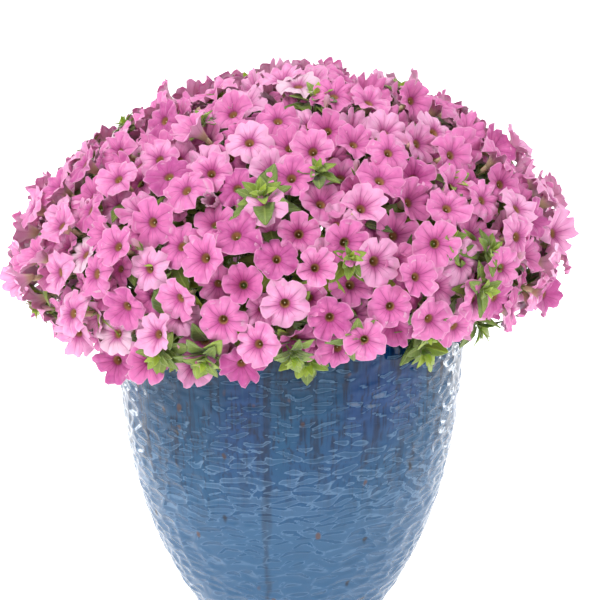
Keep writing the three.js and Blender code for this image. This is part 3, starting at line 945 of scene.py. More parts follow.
@dataclass
class BloomPatterns:
    """Pattern blooms of radius 1, each a thin closed trumpet with five lobes, looking along +Z."""

    lobes: int = 5
    columns: int = 40
    variants: int = 5
    seed: int = 100
    face_line: tuple[tuple[float, float], ...] = (
        (0, -0.6),
        (0.11, -0.55),
        (0.165, -0.2),
        (0.27, -0.08),
        (0.52, 0.0),
        (0.8, 0.02),
        (1, 0),
    )
    back_line: tuple[tuple[float, float], ...] = (
        (0.7, -0.015),
        (0.34, -0.17),
        (0.2, -0.46),
        (0.13, -0.72),
        (0, -0.74),
    )
    notch: float = 0.24
    dent: float = 0.05
    bulge: float = 0.13
    crease: float = 0.1
    groove: float = 0.05
    frill: float = 0.08
    bend_spread: float = 0.9
    notch_spread: float = 0.45
    bulge_spread: float = 0.7
    eye_radius: float = 0.032
    eye_height: float = -0.27

    def make(self) -> dict[Opening, MeshStore]:
        """The patterns of each opening."""
        stores = {}
        for order, opening in enumerate(Opening):
            store = MeshStore(f"bloom_{opening.name.lower()}")
            for variant in range(self.variants):
                store.keep(self.pattern(opening, PlantRandom(self.seed + 10 * order + variant)))
            stores[opening] = store
        return stores

    def pattern(self, opening: Opening, source: PlantRandom) -> bmesh.types.BMesh:
        """One pattern bloom.

        Args:
            opening: How far it has opened.
            source: Where its waves are drawn from.

        Returns:
            Its mesh.
        """
        bm = bmesh.new()
        spin_profile(bm, [*self.face_line, *self.back_line], self.columns)
        place_layer, tone_layer = tag_layers(bm, "bloom")
        for vert in bm.verts:
            behind = vert.co.z < self.front_height(math.hypot(vert.co.x, vert.co.y)) - 0.01
            vert[place_layer] = vert.co
            vert[tone_layer] = (0, 0, 1 if behind else 0)
        self.sharpen_rim(bm)
        bends = [1 + source.about(self.bend_spread) for _ in range(self.lobes)]
        notches = [1 + source.about(self.notch_spread) for _ in range(self.lobes)]
        bulges = [1 + source.about(self.bulge_spread) for _ in range(2 * self.lobes)]
        waves = [source.about(1) for _ in range(self.columns)]
        dents = [source.draw() for _ in range(self.columns)]
        cup, roll, width = opening.value
        for vert in bm.verts:
            out = math.hypot(vert.co.x, vert.co.y)
            share = math.atan2(vert.co.y, vert.co.x) % TURN / TURN
            column = round(share * self.columns) % self.columns
            lobe = round(share * self.lobes) % self.lobes
            aside = min(1.0, 2 * abs(share * self.lobes - round(share * self.lobes)))
            half = int(share * 2 * self.lobes + 0.001) % (2 * self.lobes)
            between = int(share * self.lobes + 0.001) % self.lobes
            spread = smooth_step(out, 0.2, 1)
            edge = smooth_step(out, 0.8, 1)
            rise = cup * spread - roll * bends[lobe] * spread**2 * (1 - aside**2)
            rise += self.bulge * bulges[half] * spread * (math.sin(math.pi * aside) - 0.4)
            rise -= self.crease * spread * aside**4 + self.groove * spread * (1 - aside) ** 4
            rise += self.frill * edge * waves[column]
            shrink = 1.02 - self.notch * notches[between] * smooth_step(out, 0.3, 1) * aside**5
            shrink -= self.dent * edge * dents[column]
            shrink *= 1 - (1 - width) * smooth_step(out, 0.1, 0.8)
            vert.co = (vert.co.x * shrink, vert.co.y * shrink, vert.co.z + rise)
        self.add_eye(bm, place_layer, tone_layer)
        return bm

    def front_height(self, out: float) -> float:
        """The height of the front's own line at a distance from the axis."""
        for (from_out, from_height), (to_out, to_height) in zip(self.face_line, self.face_line[1:]):
            if out <= to_out:
                share = (out - from_out) / (to_out - from_out)
                return from_height + share * (to_height - from_height)
        return self.face_line[-1][1]

    def sharpen_rim(self, bm: bmesh.types.BMesh) -> None:
        """Keeps the light on the front apart from the light on the back at the rim."""
        for edge in bm.edges:
            if all(math.hypot(v.co.x, v.co.y) > 0.99 for v in edge.verts):
                edge.smooth = False

    def add_eye(self, bm: bmesh.types.BMesh, place_layer: object, tone_layer: object) -> None:
        """Adds the pale knob in the middle of the throat."""
        where = Matrix.Translation((0, 0, self.eye_height))
        made = bmesh.ops.create_icosphere(bm, subdivisions=1, radius=self.eye_radius, matrix=where)
        for vert in made["verts"]:
            vert[place_layer] = (0.5, 0, 0)
            vert[tone_layer] = (0, 0, 2)


@dataclass
class BudPattern:
    """A pattern bud of length 1 along +Z: a furled spindle on a thin tube."""

    line: tuple[tuple[float, float], ...] = (
        (0, 0),
        (0.06, 0.02),
        (0.07, 0.4),
        (0.15, 0.68),
        (0.1, 0.9),
        (0, 1),
    )
    columns: int = 10
    furl: float = 0.25
    twist: float = 1.8

    def make(self) -> MeshStore:
        """The pattern."""
        store = MeshStore("bud")
        bm = bmesh.new()
        spin_profile(bm, list(self.line), self.columns)
        place_layer, tone_layer = tag_layers(bm, "bloom")
        for vert in bm.verts:
            turn = math.atan2(vert.co.y, vert.co.x)
            pleat = 1 + self.furl * math.cos(5 * turn) * vert.co.z
            vert[place_layer] = (0.6, 0, 0.3 * vert.co.z - 0.45)
            vert[tone_layer] = (0, 0, 1)
            vert.co = (vert.co.x * pleat, vert.co.y * pleat, vert.co.z)
            vert.co.rotate(Matrix.Rotation(self.twist * vert.co.z, 3, "Z"))
        store.keep(bm)
        return store


@dataclass
class StalkPattern:
    """A straight closed tube of radius 1 that is bent along curves."""

    sides: int = 5
    steps: int = 3

    def make(self) -> MeshStore:
        """The pattern: its rings lie at the whole heights from 0 to steps."""
        store = MeshStore("stalk")
        bm = bmesh.new()
        middle = Matrix.Translation((0, 0, self.steps / 2))
        bmesh.ops.create_cone(
            bm, cap_ends=True, segments=self.sides, radius1=1, radius2=1, depth=self.steps, matrix=middle
        )
        long_edges = [e for e in bm.edges if abs(e.verts[0].co.z - e.verts[1].co.z) > 0.5]
        bmesh.ops.subdivide_edges(bm, edges=long_edges, cuts=self.steps - 1)
        store.keep(bm)
        return store


Curve = tuple[Vector, Vector, Vector, Vector]


def bezier(ends: Curve, share: float) -> Vector:
    """A point of a cubic curve, by its four control points and a share of the way."""
    rest = 1 - share
    a, b, c, d = ends
    return a * rest**3 + b * (3 * rest * rest * share) + c * (3 * rest * share * share) + d * share**3


def bend_stalk(verts: list[bmesh.types.BMVert], steps: int, ends: Curve, radii: tuple[float, float]) -> None:
    """Bends a straight pattern tube along a cubic curve.

    Args:
        verts: The tube's vertices.
        steps: The tube's length in the pattern.
        ends: The curve's four control points.
        radii: The radius at the start and at the end.
    """
    for vert in verts:
        share = min(1.0, max(0.0, vert.co.z / steps))
        here = bezier(ends, share)
        along = bezier(ends, min(1.0, share + 0.02)) - bezier(ends, max(0.0, share - 0.02))
        axes = upright_frame(along.normalized(), 0.0)
        radius = radii[0] + (radii[1] - radii[0]) * share
        vert.co = here + axes @ Vector((vert.co.x * radius, vert.co.y * radius, 0))


# Leaves


@dataclass
class LeafPatterns:
    """Pattern leaves of length 1 along +Y, with the upper side towards +Z."""

    name: str = "leaf"
    around: int = 8
    rings: int = 7
    share: float = 0.5
    thickness: float = 0.02
    fold: float = 0.22
    wave: float = 0.035
    droop: tuple[float, float] = (0.1, 0.4)
    widest: tuple[float, float] = (0.34, 0.5)
    sway: float = 0.12
    variants: int = 6
    seed: int = 300

    def make(self) -> MeshStore:
        """The patterns."""
        store = MeshStore(self.name)
        for variant in range(self.variants):
            store.keep(self.pattern(PlantRandom(self.seed + variant)))
        return store

    def pattern(self, source: PlantRandom) -> bmesh.types.BMesh:
        """One pattern leaf: a flattened ball, folded at its rib, that droops to its tip.

        Args:
            source: Where its shape is drawn from.

        Returns:
            Its mesh.
        """
        bm = bmesh.new()
        bmesh.ops.create_uvsphere(bm, u_segments=self.around, v_segments=self.rings, radius=1)
        bmesh.ops.rotate(bm, verts=bm.verts, matrix=Matrix.Rotation(-math.pi / 2, 3, "X"))
        place_layer, _ = tag_layers(bm, "leaf")
        widest = source.between(*self.widest)
        droop = source.between(*self.droop)
        sway = source.about(self.sway)
        for vert in bm.verts:
            along = (vert.co.y + 1) / 2
            ring = math.hypot(vert.co.x, vert.co.z)
            across = 0.0 if ring < 0.01 else vert.co.x / ring
            side = 0.0 if ring < 0.01 else vert.co.z / ring
            half_width = self.outline(along, widest) * self.share
            lift = self.fold * abs(across) * half_width * 2 + self.thickness * side
            lift += self.wave * math.sin(9 * along + 3 * across) * across**2
            vert[place_layer] = (across, along, side)
            vert.co = (half_width * across + sway * along**2, along, lift - droop * along**2)
        return bm

    def outline(self, along: float, widest: float) -> float:
        """Half the leaf's width at a share of its length, 0.5 where it is widest."""
        if along < widest:
            return 0.5 * math.sin(math.pi / 2 * along / widest) ** 0.8
        return 0.5 * math.cos(math.pi / 2 * (along - widest) / (1 - widest)) ** 0.85


@dataclass
class Patterns:
    """All the plant's pattern meshes."""

    blooms: dict[Opening, MeshStore] = field(default_factory=lambda: BloomPatterns().make())
    bud: MeshStore = field(default_factory=lambda: BudPattern().make())
    leaves: MeshStore = field(default_factory=lambda: LeafPatterns().make())
    sepals: MeshStore = field(
        default_factory=lambda: LeafPatterns("sepal", 4, 4, 0.26, 0.04, 0.1, 0.0, (0.0, 0.15)).make()
    )
    stalk: MeshStore = field(default_factory=lambda: StalkPattern().make())
    stalk_steps: int = StalkPattern.steps

    def clear(self) -> None:
        """Deletes the pattern meshes."""
        for store in (*self.blooms.values(), self.bud, self.leaves, self.sepals, self.stalk):
            store.clear()


@dataclass(frozen=True)
class LeafSizes:
    """The leaves round a stem: how long they are, how far they rise along it, and their tones."""

    length: float
    spread: tuple[float, float]
    rise: float
    tone: float
    tone_spread: float


@dataclass
class Greenery:
    """The leaves and stalks of one piece, gathered in one mesh."""

    patterns: Patterns
    bm: bmesh.types.BMesh = field(default_factory=bmesh.new)
    sepal_tone: float = 0.4
    stalk_tone: float = 0.4

    def leaf(
        self,
        base: Vector,
        along: Vector,
        facing: Vector,
        length: float,
        tone: float,
        which: int,
        store: MeshStore | None = None,
    ) -> None:
        """Adds a leaf or a sepal.

        Args:
            base: Where it grows from.
            along: The way that it points.
            facing: The way that its upper side looks.
            length: Its length.
            tone: From 0, young and lime, to 1, old and dark.
            which: The pattern's number.
            store: Its patterns, where it isn't a leaf.
        """
        store = store or self.patterns.leaves
        side = along.cross(facing).normalized()
        out = side.cross(along).normalized()
        axes = Matrix((side, along.normalized(), out)).transposed().to_4x4()
        where = Matrix.Translation(base) @ axes @ Matrix.Scale(length, 4)
        verts = store.add(self.bm, which % len(store.meshes))
        _, tone_layer = tag_layers(self.bm, "leaf")
        for vert in verts:
            vert.co = where @ vert.co
            vert[tone_layer] = (tone, 0, 0)
        keep_inside(verts)

    def stalk(self, ends: Curve, radius: float, taper: float = 1.0) -> None:
        """Adds a stalk along a curve.

        Args:
            ends: The curve's control points.
            radius: Its radius at the start.
            taper: Its radius at the end, as a share of that.
        """
        place_layer, tone_layer = tag_layers(self.bm, "leaf")
        verts = self.patterns.stalk.add(self.bm, 0)
        bend_stalk(verts, self.patterns.stalk_steps, ends, (radius, radius * taper))
        for vert in verts:
            vert[place_layer] = (1, 0, 0)
            vert[tone_layer] = (self.stalk_tone, 1, 0)

    def calyx(self, base: Vector, axis: Vector, length: float) -> None:
        """Adds the five sepals that hold a bloom's or a bud's tube.

        Args:
            base: The calyx's foot.
            axis: The way that the tube leaves it.
            length: The sepals' length.
        """
        for k in range(5):
            axes = upright_frame(axis, TURN * k / 5)
            along = axes @ Vector((0.4, 0, 0.92))
            inward = axes @ Vector((-1, 0, 0.4))
            self.leaf(base, along, inward, length, self.sepal_tone, k, self.patterns.sepals)

    def tuft(
        self, tip: Vector, axis: Vector, facing: Vector, length: float, count: int, source: PlantRandom
    ) -> None:
        """Adds a rosette of leaves round a shoot's tip.

        Args:
            tip: The shoot's tip.
            axis: The way that the shoot points.
            facing: The way that the leaves' upper sides look.
            length: The length of its outermost leaves.
            count: How many leaves it has.
            source: Where their turns are drawn from.
        """
        for k in range(count):
            axes = upright_frame(axis, k * GOLDEN_ANGLE + source.about(0.4))
            share = (k + 0.6) / count
            outward = axes @ Vector((1, 0, 0))
            along = (outward * (0.25 + share) + axis * (1.15 - share * 0.8)).normalized()
            grown = length * (0.4 + 0.6 * share) * source.between(0.85, 1.15)
            start = tip - axis * (0.35 * length * share)
            look = facing if abs(along.dot(facing)) < 0.9 else axis
            self.leaf(start, along, look, grown, 0.05 + 0.5 * share + source.about(0.12), k)

    def whorl(
        self,
        bases: list[Vector],
        axis: Vector,
        bend: Vector,
        facing: Vector,
        sizes: LeafSizes,
        source: PlantRandom,
    ) -> None:
        """Adds the leaves that stand round a stem under its tip.

        Args:
            bases: Where they grow from.
            axis: The way that the stem points.
            bend: What is added to each leaf's direction, across the stem.
            facing: The way that the leaves' upper sides look.
            sizes: Their lengths and tones.
            source: Where their turns are drawn from.
        """
        for k, base in enumerate(bases):
            axes = upright_frame(axis, k * GOLDEN_ANGLE + source.about(0.5))
            along = (axes @ Vector((1, 0, sizes.rise)) + bend).normalized()
            length = sizes.length * source.between(*sizes.spread)
            self.leaf(base, along, facing, length, sizes.tone + source.about(sizes.tone_spread), k)


@dataclass
class Spray:
    """One flowering spray: its blooms and their tubes, and its stem, stalks and leaves."""

    plan: PlantPlan
    patch: Patch
    seats: list[Seat]
    tufts: list[Tuft]
    patterns: Patterns
    seed: int = 1000
    tone: float = 0.42
    tone_spread: float = 0.3
    tube_radius: float = 3.7 * MM
    tube_length: float = 20 * MM
    tube_taper: float = 0.7
    throat_end: float = 0.7
    warp: float = 0.44
    warp_size: float = 0.9
    nod: float = 0.2
    stalk_radius: float = 1.1 * MM
    stem_radius: float = 3.6 * MM
    stem_taper: float = 0.7
    sepal_length: float = 14 * MM
    leaf_length: float = 40 * MM
    leaf_depth: tuple[float, float] = (28 * MM, 54 * MM)
    leaf_out: tuple[float, float] = (2 * MM, 14 * MM)
    leaf_rise: tuple[float, float] = (0.05, 0.4)
    leaf_spread: tuple[float, float] = (0.75, 1.15)
    leaves_per_bloom: int = 3
    buds: int = 4
    bud_length: float = 30 * MM
    bud_depth: float = 20 * MM
    openings: tuple[tuple[Opening, int], ...] = (
        (Opening.FLAT, 6),
        (Opening.CUPPED, 6),
        (Opening.ROLLED, 5),
        (Opening.FUNNEL, 3),
    )
    spent_share: float = 0.05
    spent_fade: tuple[float, float] = (0.4, 0.8)
    faded_share: float = 0.04
    fade: tuple[float, float] = (0.5, 0.9)
    tip_radius: float = 1.8 * MM
    tip_taper: float = 1.3 / 1.8
    tip_bend: float = 30 * MM
    tip_leaves: int = 6
    hub_depth: float = 22 * MM
    stem_rise: float = 110 * MM
    stem_bend: float = 60 * MM
    stalk_bend: float = 20 * MM
    grip: float = 2 * MM

    def build(self, petal: bpy.types.Material, leaf: bpy.types.Material) -> None:
        """Makes the spray's two pieces.

        Args:
            petal: The petals' finish.
            leaf: The leaves' finish.
        """
        source = PlantRandom(self.seed + sum(map(ord, self.patch.name)))
        petals = bmesh.new()
        greenery = Greenery(self.patterns)
        depth = self.plan.bloom_standoff + self.hub_depth
        hub = self.plan.mound.point(self.patch.middle, self.patch.azimuth, depth)
        self.add_stem(greenery, hub)
        for seat in self.seats:
            self.add_bloom(petals, greenery, seat, hub, source)
            self.add_leaves(greenery, seat, source)
        for seat in self.seats[:: max(1, len(self.seats) // self.buds)]:
            self.add_bud(petals, greenery, seat, source)
        for tuft in self.tufts:
            self.add_tuft(greenery, tuft, hub, source)
        name = self.patch.name
        make_piece(petals, f"{name}_blooms", petal, [name])
        make_piece(greenery.bm, f"{name}_greenery", leaf, [name])

    def add_stem(self, greenery: Greenery, hub: Vector) -> None:
        """Adds the spray's stem, from the soil to its head."""
        foot = self.plan.stem_foot(self.patch.middle, self.patch.azimuth)
        outward = self.plan.mound.normal(max(self.patch.middle, self.plan.mound.top), self.patch.azimuth)
        ends = (foot, foot + UP * self.stem_rise, hub - outward * self.stem_bend, hub)
        greenery.stalk(ends, self.stem_radius, self.stem_taper)

    def opening(self, seat: Seat, source: PlantRandom) -> tuple[Opening, float]:
        """Draws how far a bloom has opened, and how faded it is.

        Args:
            seat: The bloom's seat.
            source: Where the draw comes from.

        Returns:
            The opening, and the fading from 0 to 1.
        """
        kind = source.pick([kind for kind, share in self.openings for _ in range(share)])
        chance = source.draw()
        if chance < self.spent_share and seat.filler:
            return Opening.SPENT, source.between(*self.spent_fade)
        if chance < self.faded_share:
            return kind, source.between(*self.fade)
        return kind, 0.0

    def add_bloom(
        self, petals: bmesh.types.BMesh, greenery: Greenery, seat: Seat, hub: Vector, source: PlantRandom
    ) -> None:
        """Adds a bloom with its tube, calyx and stalk.

        Args:
            petals: The mesh of the spray's blooms.
            greenery: The mesh of its leaves and stalks.
            seat: The bloom's seat.
            hub: The point of the spray's head that the stalks come from.
            source: Where its shape and colour are drawn from.
        """
        opening, faded = self.opening(seat, source)
        store = self.patterns.blooms[opening]
        verts = store.add(petals, int(source.draw() * len(store.meshes)))
        place_layer, tone_layer = tag_layers(petals, "bloom")
        tone = self.tone + source.about(self.tone_spread) + source.about(self.tone_spread)
        tone = min(1.0, max(0.0, tone))
        nod = Vector([source.about(self.nod) for _ in range(3)])
        looks = upright_frame((seat.face + nod).normalized(), seat.turn)
        where = Matrix.Translation(seat.centre) @ looks @ Matrix.Scale(seat.radius, 4)
        for vert in verts:
            out = smooth_step(math.hypot(vert.co.x, vert.co.y), 0.3, 1.0)
            placed = where @ vert.co
            bent = noise.noise(placed / (self.warp_size * seat.radius))
            vert.co = placed + seat.face * (self.warp * seat.radius * out * bent)
            vert[tone_layer] = (tone, faded, vert[tone_layer].z)
        start = seat.centre + keep_inside(verts) - seat.face * (self.throat_end * seat.radius)
        inward = (seat.root - start).normalized()
        foot = start - seat.face * (0.6 * self.tube_length) + inward * (0.4 * self.tube_length)
        tube = (start, start - seat.face * (0.5 * self.tube_length), foot - inward * self.grip, foot)
        made = self.patterns.stalk.add(petals, 0)
        radii = (self.tube_radius, self.tube_radius * self.tube_taper)
        bend_stalk(made, self.patterns.stalk_steps, tube, radii)
        for vert in made:
            vert[place_layer] = (0.12, 0, -0.7)
            vert[tone_layer] = (tone, faded, 1)
        back = (start - foot).normalized()
        stalk = (foot + back * self.grip, foot - back * self.stalk_bend, seat.root, hub)
        greenery.stalk(stalk, self.stalk_radius)
        greenery.calyx(foot - back * MM, back, self.sepal_length)

    def add_bud(self, petals: bmesh.types.BMesh, greenery: Greenery, seat: Seat, source: PlantRandom) -> None:
        """Adds a furled bud that stands up beside a bloom.

        Args:
            petals: The mesh of the spray's blooms.
            greenery: The mesh of its leaves and stalks.
            seat: The bloom beside it.
            source: Where its place is drawn from.
        """
        axes = upright_frame(seat.normal, source.draw() * TURN)
        aside = axes @ Vector((1, 0, 0))
        foot = seat.centre + aside * (seat.radius * 0.95) - seat.normal * self.bud_depth
        along = (seat.normal + aside * source.about(0.4) + UP * 0.4).normalized()
        length = self.bud_length * source.between(0.7, 1.05)
        where = Matrix.Translation(foot) @ upright_frame(along, 0.0) @ Matrix.Scale(length, 4)
        verts = self.patterns.bud.add(petals, 0)
        _, tone_layer = tag_layers(petals, "bloom")
        for vert in verts:
            vert.co = where @ vert.co
            vert[tone_layer] = (0.6, 0, 1)
        foot = foot + keep_inside(verts)
        greenery.calyx(foot, along, self.sepal_length)
        stalk = (foot + along * self.grip, foot - along * self.stalk_bend, seat.root, seat.root)
        greenery.stalk(stalk, self.stalk_radius)

    def add_leaves(self, greenery: Greenery, seat: Seat, source: PlantRandom) -> None:
        """Adds the leaves that stand under and between the blooms.

        Args:
            greenery: The mesh that they go into.
            seat: The bloom that they stand round.
            source: Where their places are drawn from.
        """
        for _ in range(self.leaves_per_bloom):
            turn = source.draw() * TURN
            axes = upright_frame(seat.normal, turn)
            outward = axes @ Vector((1, 0, 0))
            depth = source.between(*self.leaf_depth)
            base = seat.centre - seat.normal * depth + outward * source.between(*self.leaf_out)
            along = (outward + seat.normal * source.between(*self.leaf_rise) + UP * 0.1).normalized()
            length = self.leaf_length * source.between(*self.leaf_spread)
            tone = 0.5 + source.about(0.4)
            greenery.leaf(base, along, seat.normal, length, tone, int(source.draw() * 100))

    def add_tuft(self, greenery: Greenery, tuft: Tuft, hub: Vector, source: PlantRandom) -> None:
        """Adds a leafy tip that stands out among the blooms.

        Args:
            greenery: The mesh that it goes into.
            tuft: The tuft.
            hub: The point of the spray's head that its stalk comes from.
            source: Where its turns are drawn from.
        """
        mound = self.plan.mound
        angle, azimuth = math.radians(tuft.angle), math.radians(tuft.azimuth)
        outward = mound.normal(angle, azimuth)
        tip = mound.point(angle, azimuth, -tuft.lift)
        stalk = (hub, hub + outward * self.stalk_bend, tip - outward * self.tip_bend, tip)
        greenery.stalk(stalk, self.tip_radius, self.tip_taper)
        greenery.tuft(tip, outward, outward, tuft.length, tuft.count, source)
        bases = [tip - outward * (10 + 5 * k) * MM for k in range(self.tip_leaves)]
        sizes = LeafSizes(tuft.length, (0.95, 1.25), 0.45, 0.45, 0.25)
        greenery.whorl(bases, outward, Vector(), outward, sizes, source)


@dataclass
class Shoot:
    """A leafy shoot, up between two sprays or out over the rim."""

    plan: PlantPlan
    name: str
    angle: float
    azimuth: float
    patterns: Patterns
    seed: int = 2000
    insets: tuple[float, ...] = (-6, 4, 12, 20, 28, 36, 44)
    hangs: tuple[float, ...] = (22, 14, 6)
    outside: float = 22 * MM
    over_lip: tuple[float, float] = (-2 * MM, 15 * MM)
    rise: float = 80 * MM
    bow: float = 30 * MM
    stalk_radius: float = 1.9 * MM
    taper: float = 0.6
    bend: float = 100 * MM
    leaf_length: float = 38 * MM
    leaf_spread: tuple[float, float] = (0.9, 1.2)

    def build(self, leaf: bpy.types.Material) -> None:
        """Makes the shoot's piece.

        Args:
            leaf: The leaves' finish.
        """
        source = PlantRandom(self.seed + sum(map(ord, self.name)))
        greenery = Greenery(self.patterns)
        foot = self.plan.stem_foot(self.angle, self.azimuth)
        if self.angle >= self.plan.mound.end:
            self.over_rim(greenery, foot, source)
        else:
            self.through_channel(greenery, foot, source)
        make_piece(greenery.bm, self.name + "_greenery", leaf, [self.name])

    def through_channel(self, greenery: Greenery, foot: Vector, source: PlantRandom) -> None:
        """Leads the shoot up between two sprays, to where the frame has its tip."""
        mound = self.plan.mound
        points = self.plan.node_points(self.name)
        tips = [mound.point(self.angle, self.azimuth, inset * MM) for inset in self.insets]
        tip = min(tips, key=lambda place: points.find(place)[2])
        outward = mound.normal(self.angle, self.azimuth)
        stalk = (foot, foot + UP * self.bend, tip - outward * self.bend, tip)
        greenery.stalk(stalk, self.stalk_radius, self.taper)
        greenery.tuft(tip, outward, outward, self.leaf_length, 10, source)
        bases = [tip - outward * (12 + 6 * k) * MM for k in range(6)]
        sizes = LeafSizes(self.leaf_length, self.leaf_spread, 0.6, 0.5, 0.3)
        greenery.whorl(bases, outward, Vector(), outward, sizes, source)

    def over_rim(self, greenery: Greenery, foot: Vector, source: PlantRandom) -> None:
        """Leads the shoot up from the soil's edge, over the lip and down outside it."""
        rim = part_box("pot")[1]
        outward = Vector((math.cos(self.azimuth), math.sin(self.azimuth), 0))
        points = self.plan.node_points(self.name)
        tips = [outward * (rim.x + self.outside) + UP * (rim.z - hang * MM) for hang in self.hangs]
        tip = min(tips, key=lambda place: points.find(place)[2])
        over = outward * (rim.x + self.over_lip[0]) + UP * (rim.z + self.over_lip[1])
        rising = (foot, foot + UP * self.rise, over - outward * self.bow, over)
        greenery.stalk(rising, self.stalk_radius)
        down = (tip - over).normalized()
        hanging = (over, over + outward * 12 * MM, tip - down * 8 * MM, tip)
        greenery.stalk(hanging, self.stalk_radius, self.taper)
        greenery.tuft(tip, down, outward, self.leaf_length, 9, source)
        bases = [tip.lerp(over, 0.3 + 0.1 * k) for k in range(8)]
        sizes = LeafSizes(self.leaf_length, self.leaf_spread, 0.7, 0.4, 0.3)
        greenery.whorl(bases, down, outward * 0.25, outward + UP * 0.3, sizes, source)


# Pot and soil


@dataclass
class Pot:
    """The glazed pot: an egg-shaped wall beaten into long shallow dimples, on a plain foot."""

    lean_in: float = 0.1
    round_in: float = 0.475
    wall: float = 14 * MM
    foot_height: float = 12 * MM
    foot_ring: float = 20 * MM
    foot_recess: float = 5 * MM
    floor_top: float = 30 * MM
    drain_radius: float = 14 * MM
    bevel: float = 2 * MM
    columns: int = 340
    rows: int = 190
    inner_rows: int = 12
    lip_rows: int = 8
    plain_foot: tuple[float, float] = (4 * MM, 20 * MM)
    plain_lip: float = 16 * MM
    dimple_width: float = 30 * MM
    dimple_height: float = 12 * MM
    dimple_depth: float = 2.0 * MM
    dimple_edge: float = 0.5
    dimple_level: float = 0.4
    slant: float = 0.8
    slant_size: float = 50 * MM
    ripple_width: float = 34 * MM
    ripple_height: float = 12 * MM
    ripple: float = 1.6 * MM
    steepest: float = 0.42

    def __post_init__(self) -> None:
        """Takes the pot's height and rim radius from the frame."""
        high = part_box("pot")[1]
        self.height = high.z
        self.rim_radius = self.radius_scale(high.x)

    def radius_scale(self, widest: float) -> float:
        """The rim radius whose lathed lip is as wide as the frame's."""
        return widest / (1 - self.lean_in * self.wall / 2 / self.height)

    def radius(self, height: float) -> float:
        """The plain wall's outer radius at a height."""
        down = (self.height - height) / self.height
        return self.rim_radius * (1 - self.lean_in * down - self.round_in * down**3)

    def line(self, start: float, stop: float, inset: float, rows: int) -> list[tuple[float, float]]:
        """Points of the wall from one height to another, drawn in by an inset."""
        heights = [start + (stop - start) * k / (rows - 1) for k in range(rows)]
        return [(self.radius(height) - inset, height) for height in heights]

    def profile(self) -> list[tuple[float, float]]:
        """The section of the wall, closed at the drain hole."""
        lip_height = self.height - self.wall / 2
        half = self.wall / 2
        lip_out = self.radius(lip_height) - half
        arc = [math.pi * k / self.lip_rows for k in range(1, self.lip_rows)]
        lip = [(lip_out + half * math.cos(a), lip_height + half * math.sin(a)) for a in arc]
        foot = self.radius(self.foot_height)
        recess = foot - self.foot_ring
        return [
            (self.drain_radius, self.foot_recess),
            (recess - self.foot_recess, self.foot_recess),
            (recess, 0.0),
            (foot - self.bevel, 0.0),
            (foot, self.bevel),
            *self.line(self.foot_height, lip_height, 0.0, self.rows),
            *lip,
            *self.line(lip_height, self.floor_top, self.wall, self.inner_rows),
            (self.drain_radius, self.floor_top),
        ]

    def hammered(self, place: Vector) -> float:
        """How far the glaze stands in or out at a place on the plain wall."""
        wide, high = self.dimple_width, self.dimple_height
        slant = self.slant * noise.noise(place / self.slant_size)
        stretched = Vector((place.x / wide, place.y / wide, place.z / high + slant))
        near = noise.voronoi(stretched)[0]
        edge = smooth_step(near[1] - near[0], self.dimple_edge, 0.0)
        wide, high = self.ripple_width, self.ripple_height
        long_wave = noise.noise(Vector((place.x / wide, place.y / wide, place.z / high + slant)))
        return self.dimple_depth * (edge - self.dimple_level) + self.ripple * long_wave

    def tilt(self, place: Vector) -> float:
        """How far the beaten wall looks up at a place: 0.5 where it stands as the plain wall."""
        step = UP * 1.5 * MM
        slope = (self.hammered(place - step) - self.hammered(place + step)) / (2 * step.z)
        return 0.5 + slope / (2 * self.steepest)

    def build(self, glaze: bpy.types.Material) -> None:
        """Makes the pot's piece.

        Args:
            glaze: The glaze's finish.
        """
        bm = bmesh.new()
        spin_profile(bm, self.profile(), self.columns, ring=True)
        tilt_layer = bm.verts.layers.float_vector.new("glaze_tilt")
        for vert in bm.verts:
            out = math.hypot(vert.co.x, vert.co.y)
            plain = self.radius(vert.co.z)
            if out < plain - self.wall * 0.8 or vert.co.z < self.bevel + 0.5 * MM:
                continue
            ends = smooth_step(vert.co.z, *self.plain_foot)
            ends *= smooth_step(vert.co.z, self.height, self.height - self.plain_lip)
            moved = self.hammered(vert.co) * ends
            # The tilt is kept for the glaze, which paints highlights where the wall faces up.
            vert[tilt_layer] = (self.tilt(vert.co) * ends, 0, 0)
            vert.co.x *= 1 + moved / out
            vert.co.y *= 1 + moved / out
        make_piece(bm, "pot_glazed", glaze, ["pot"])


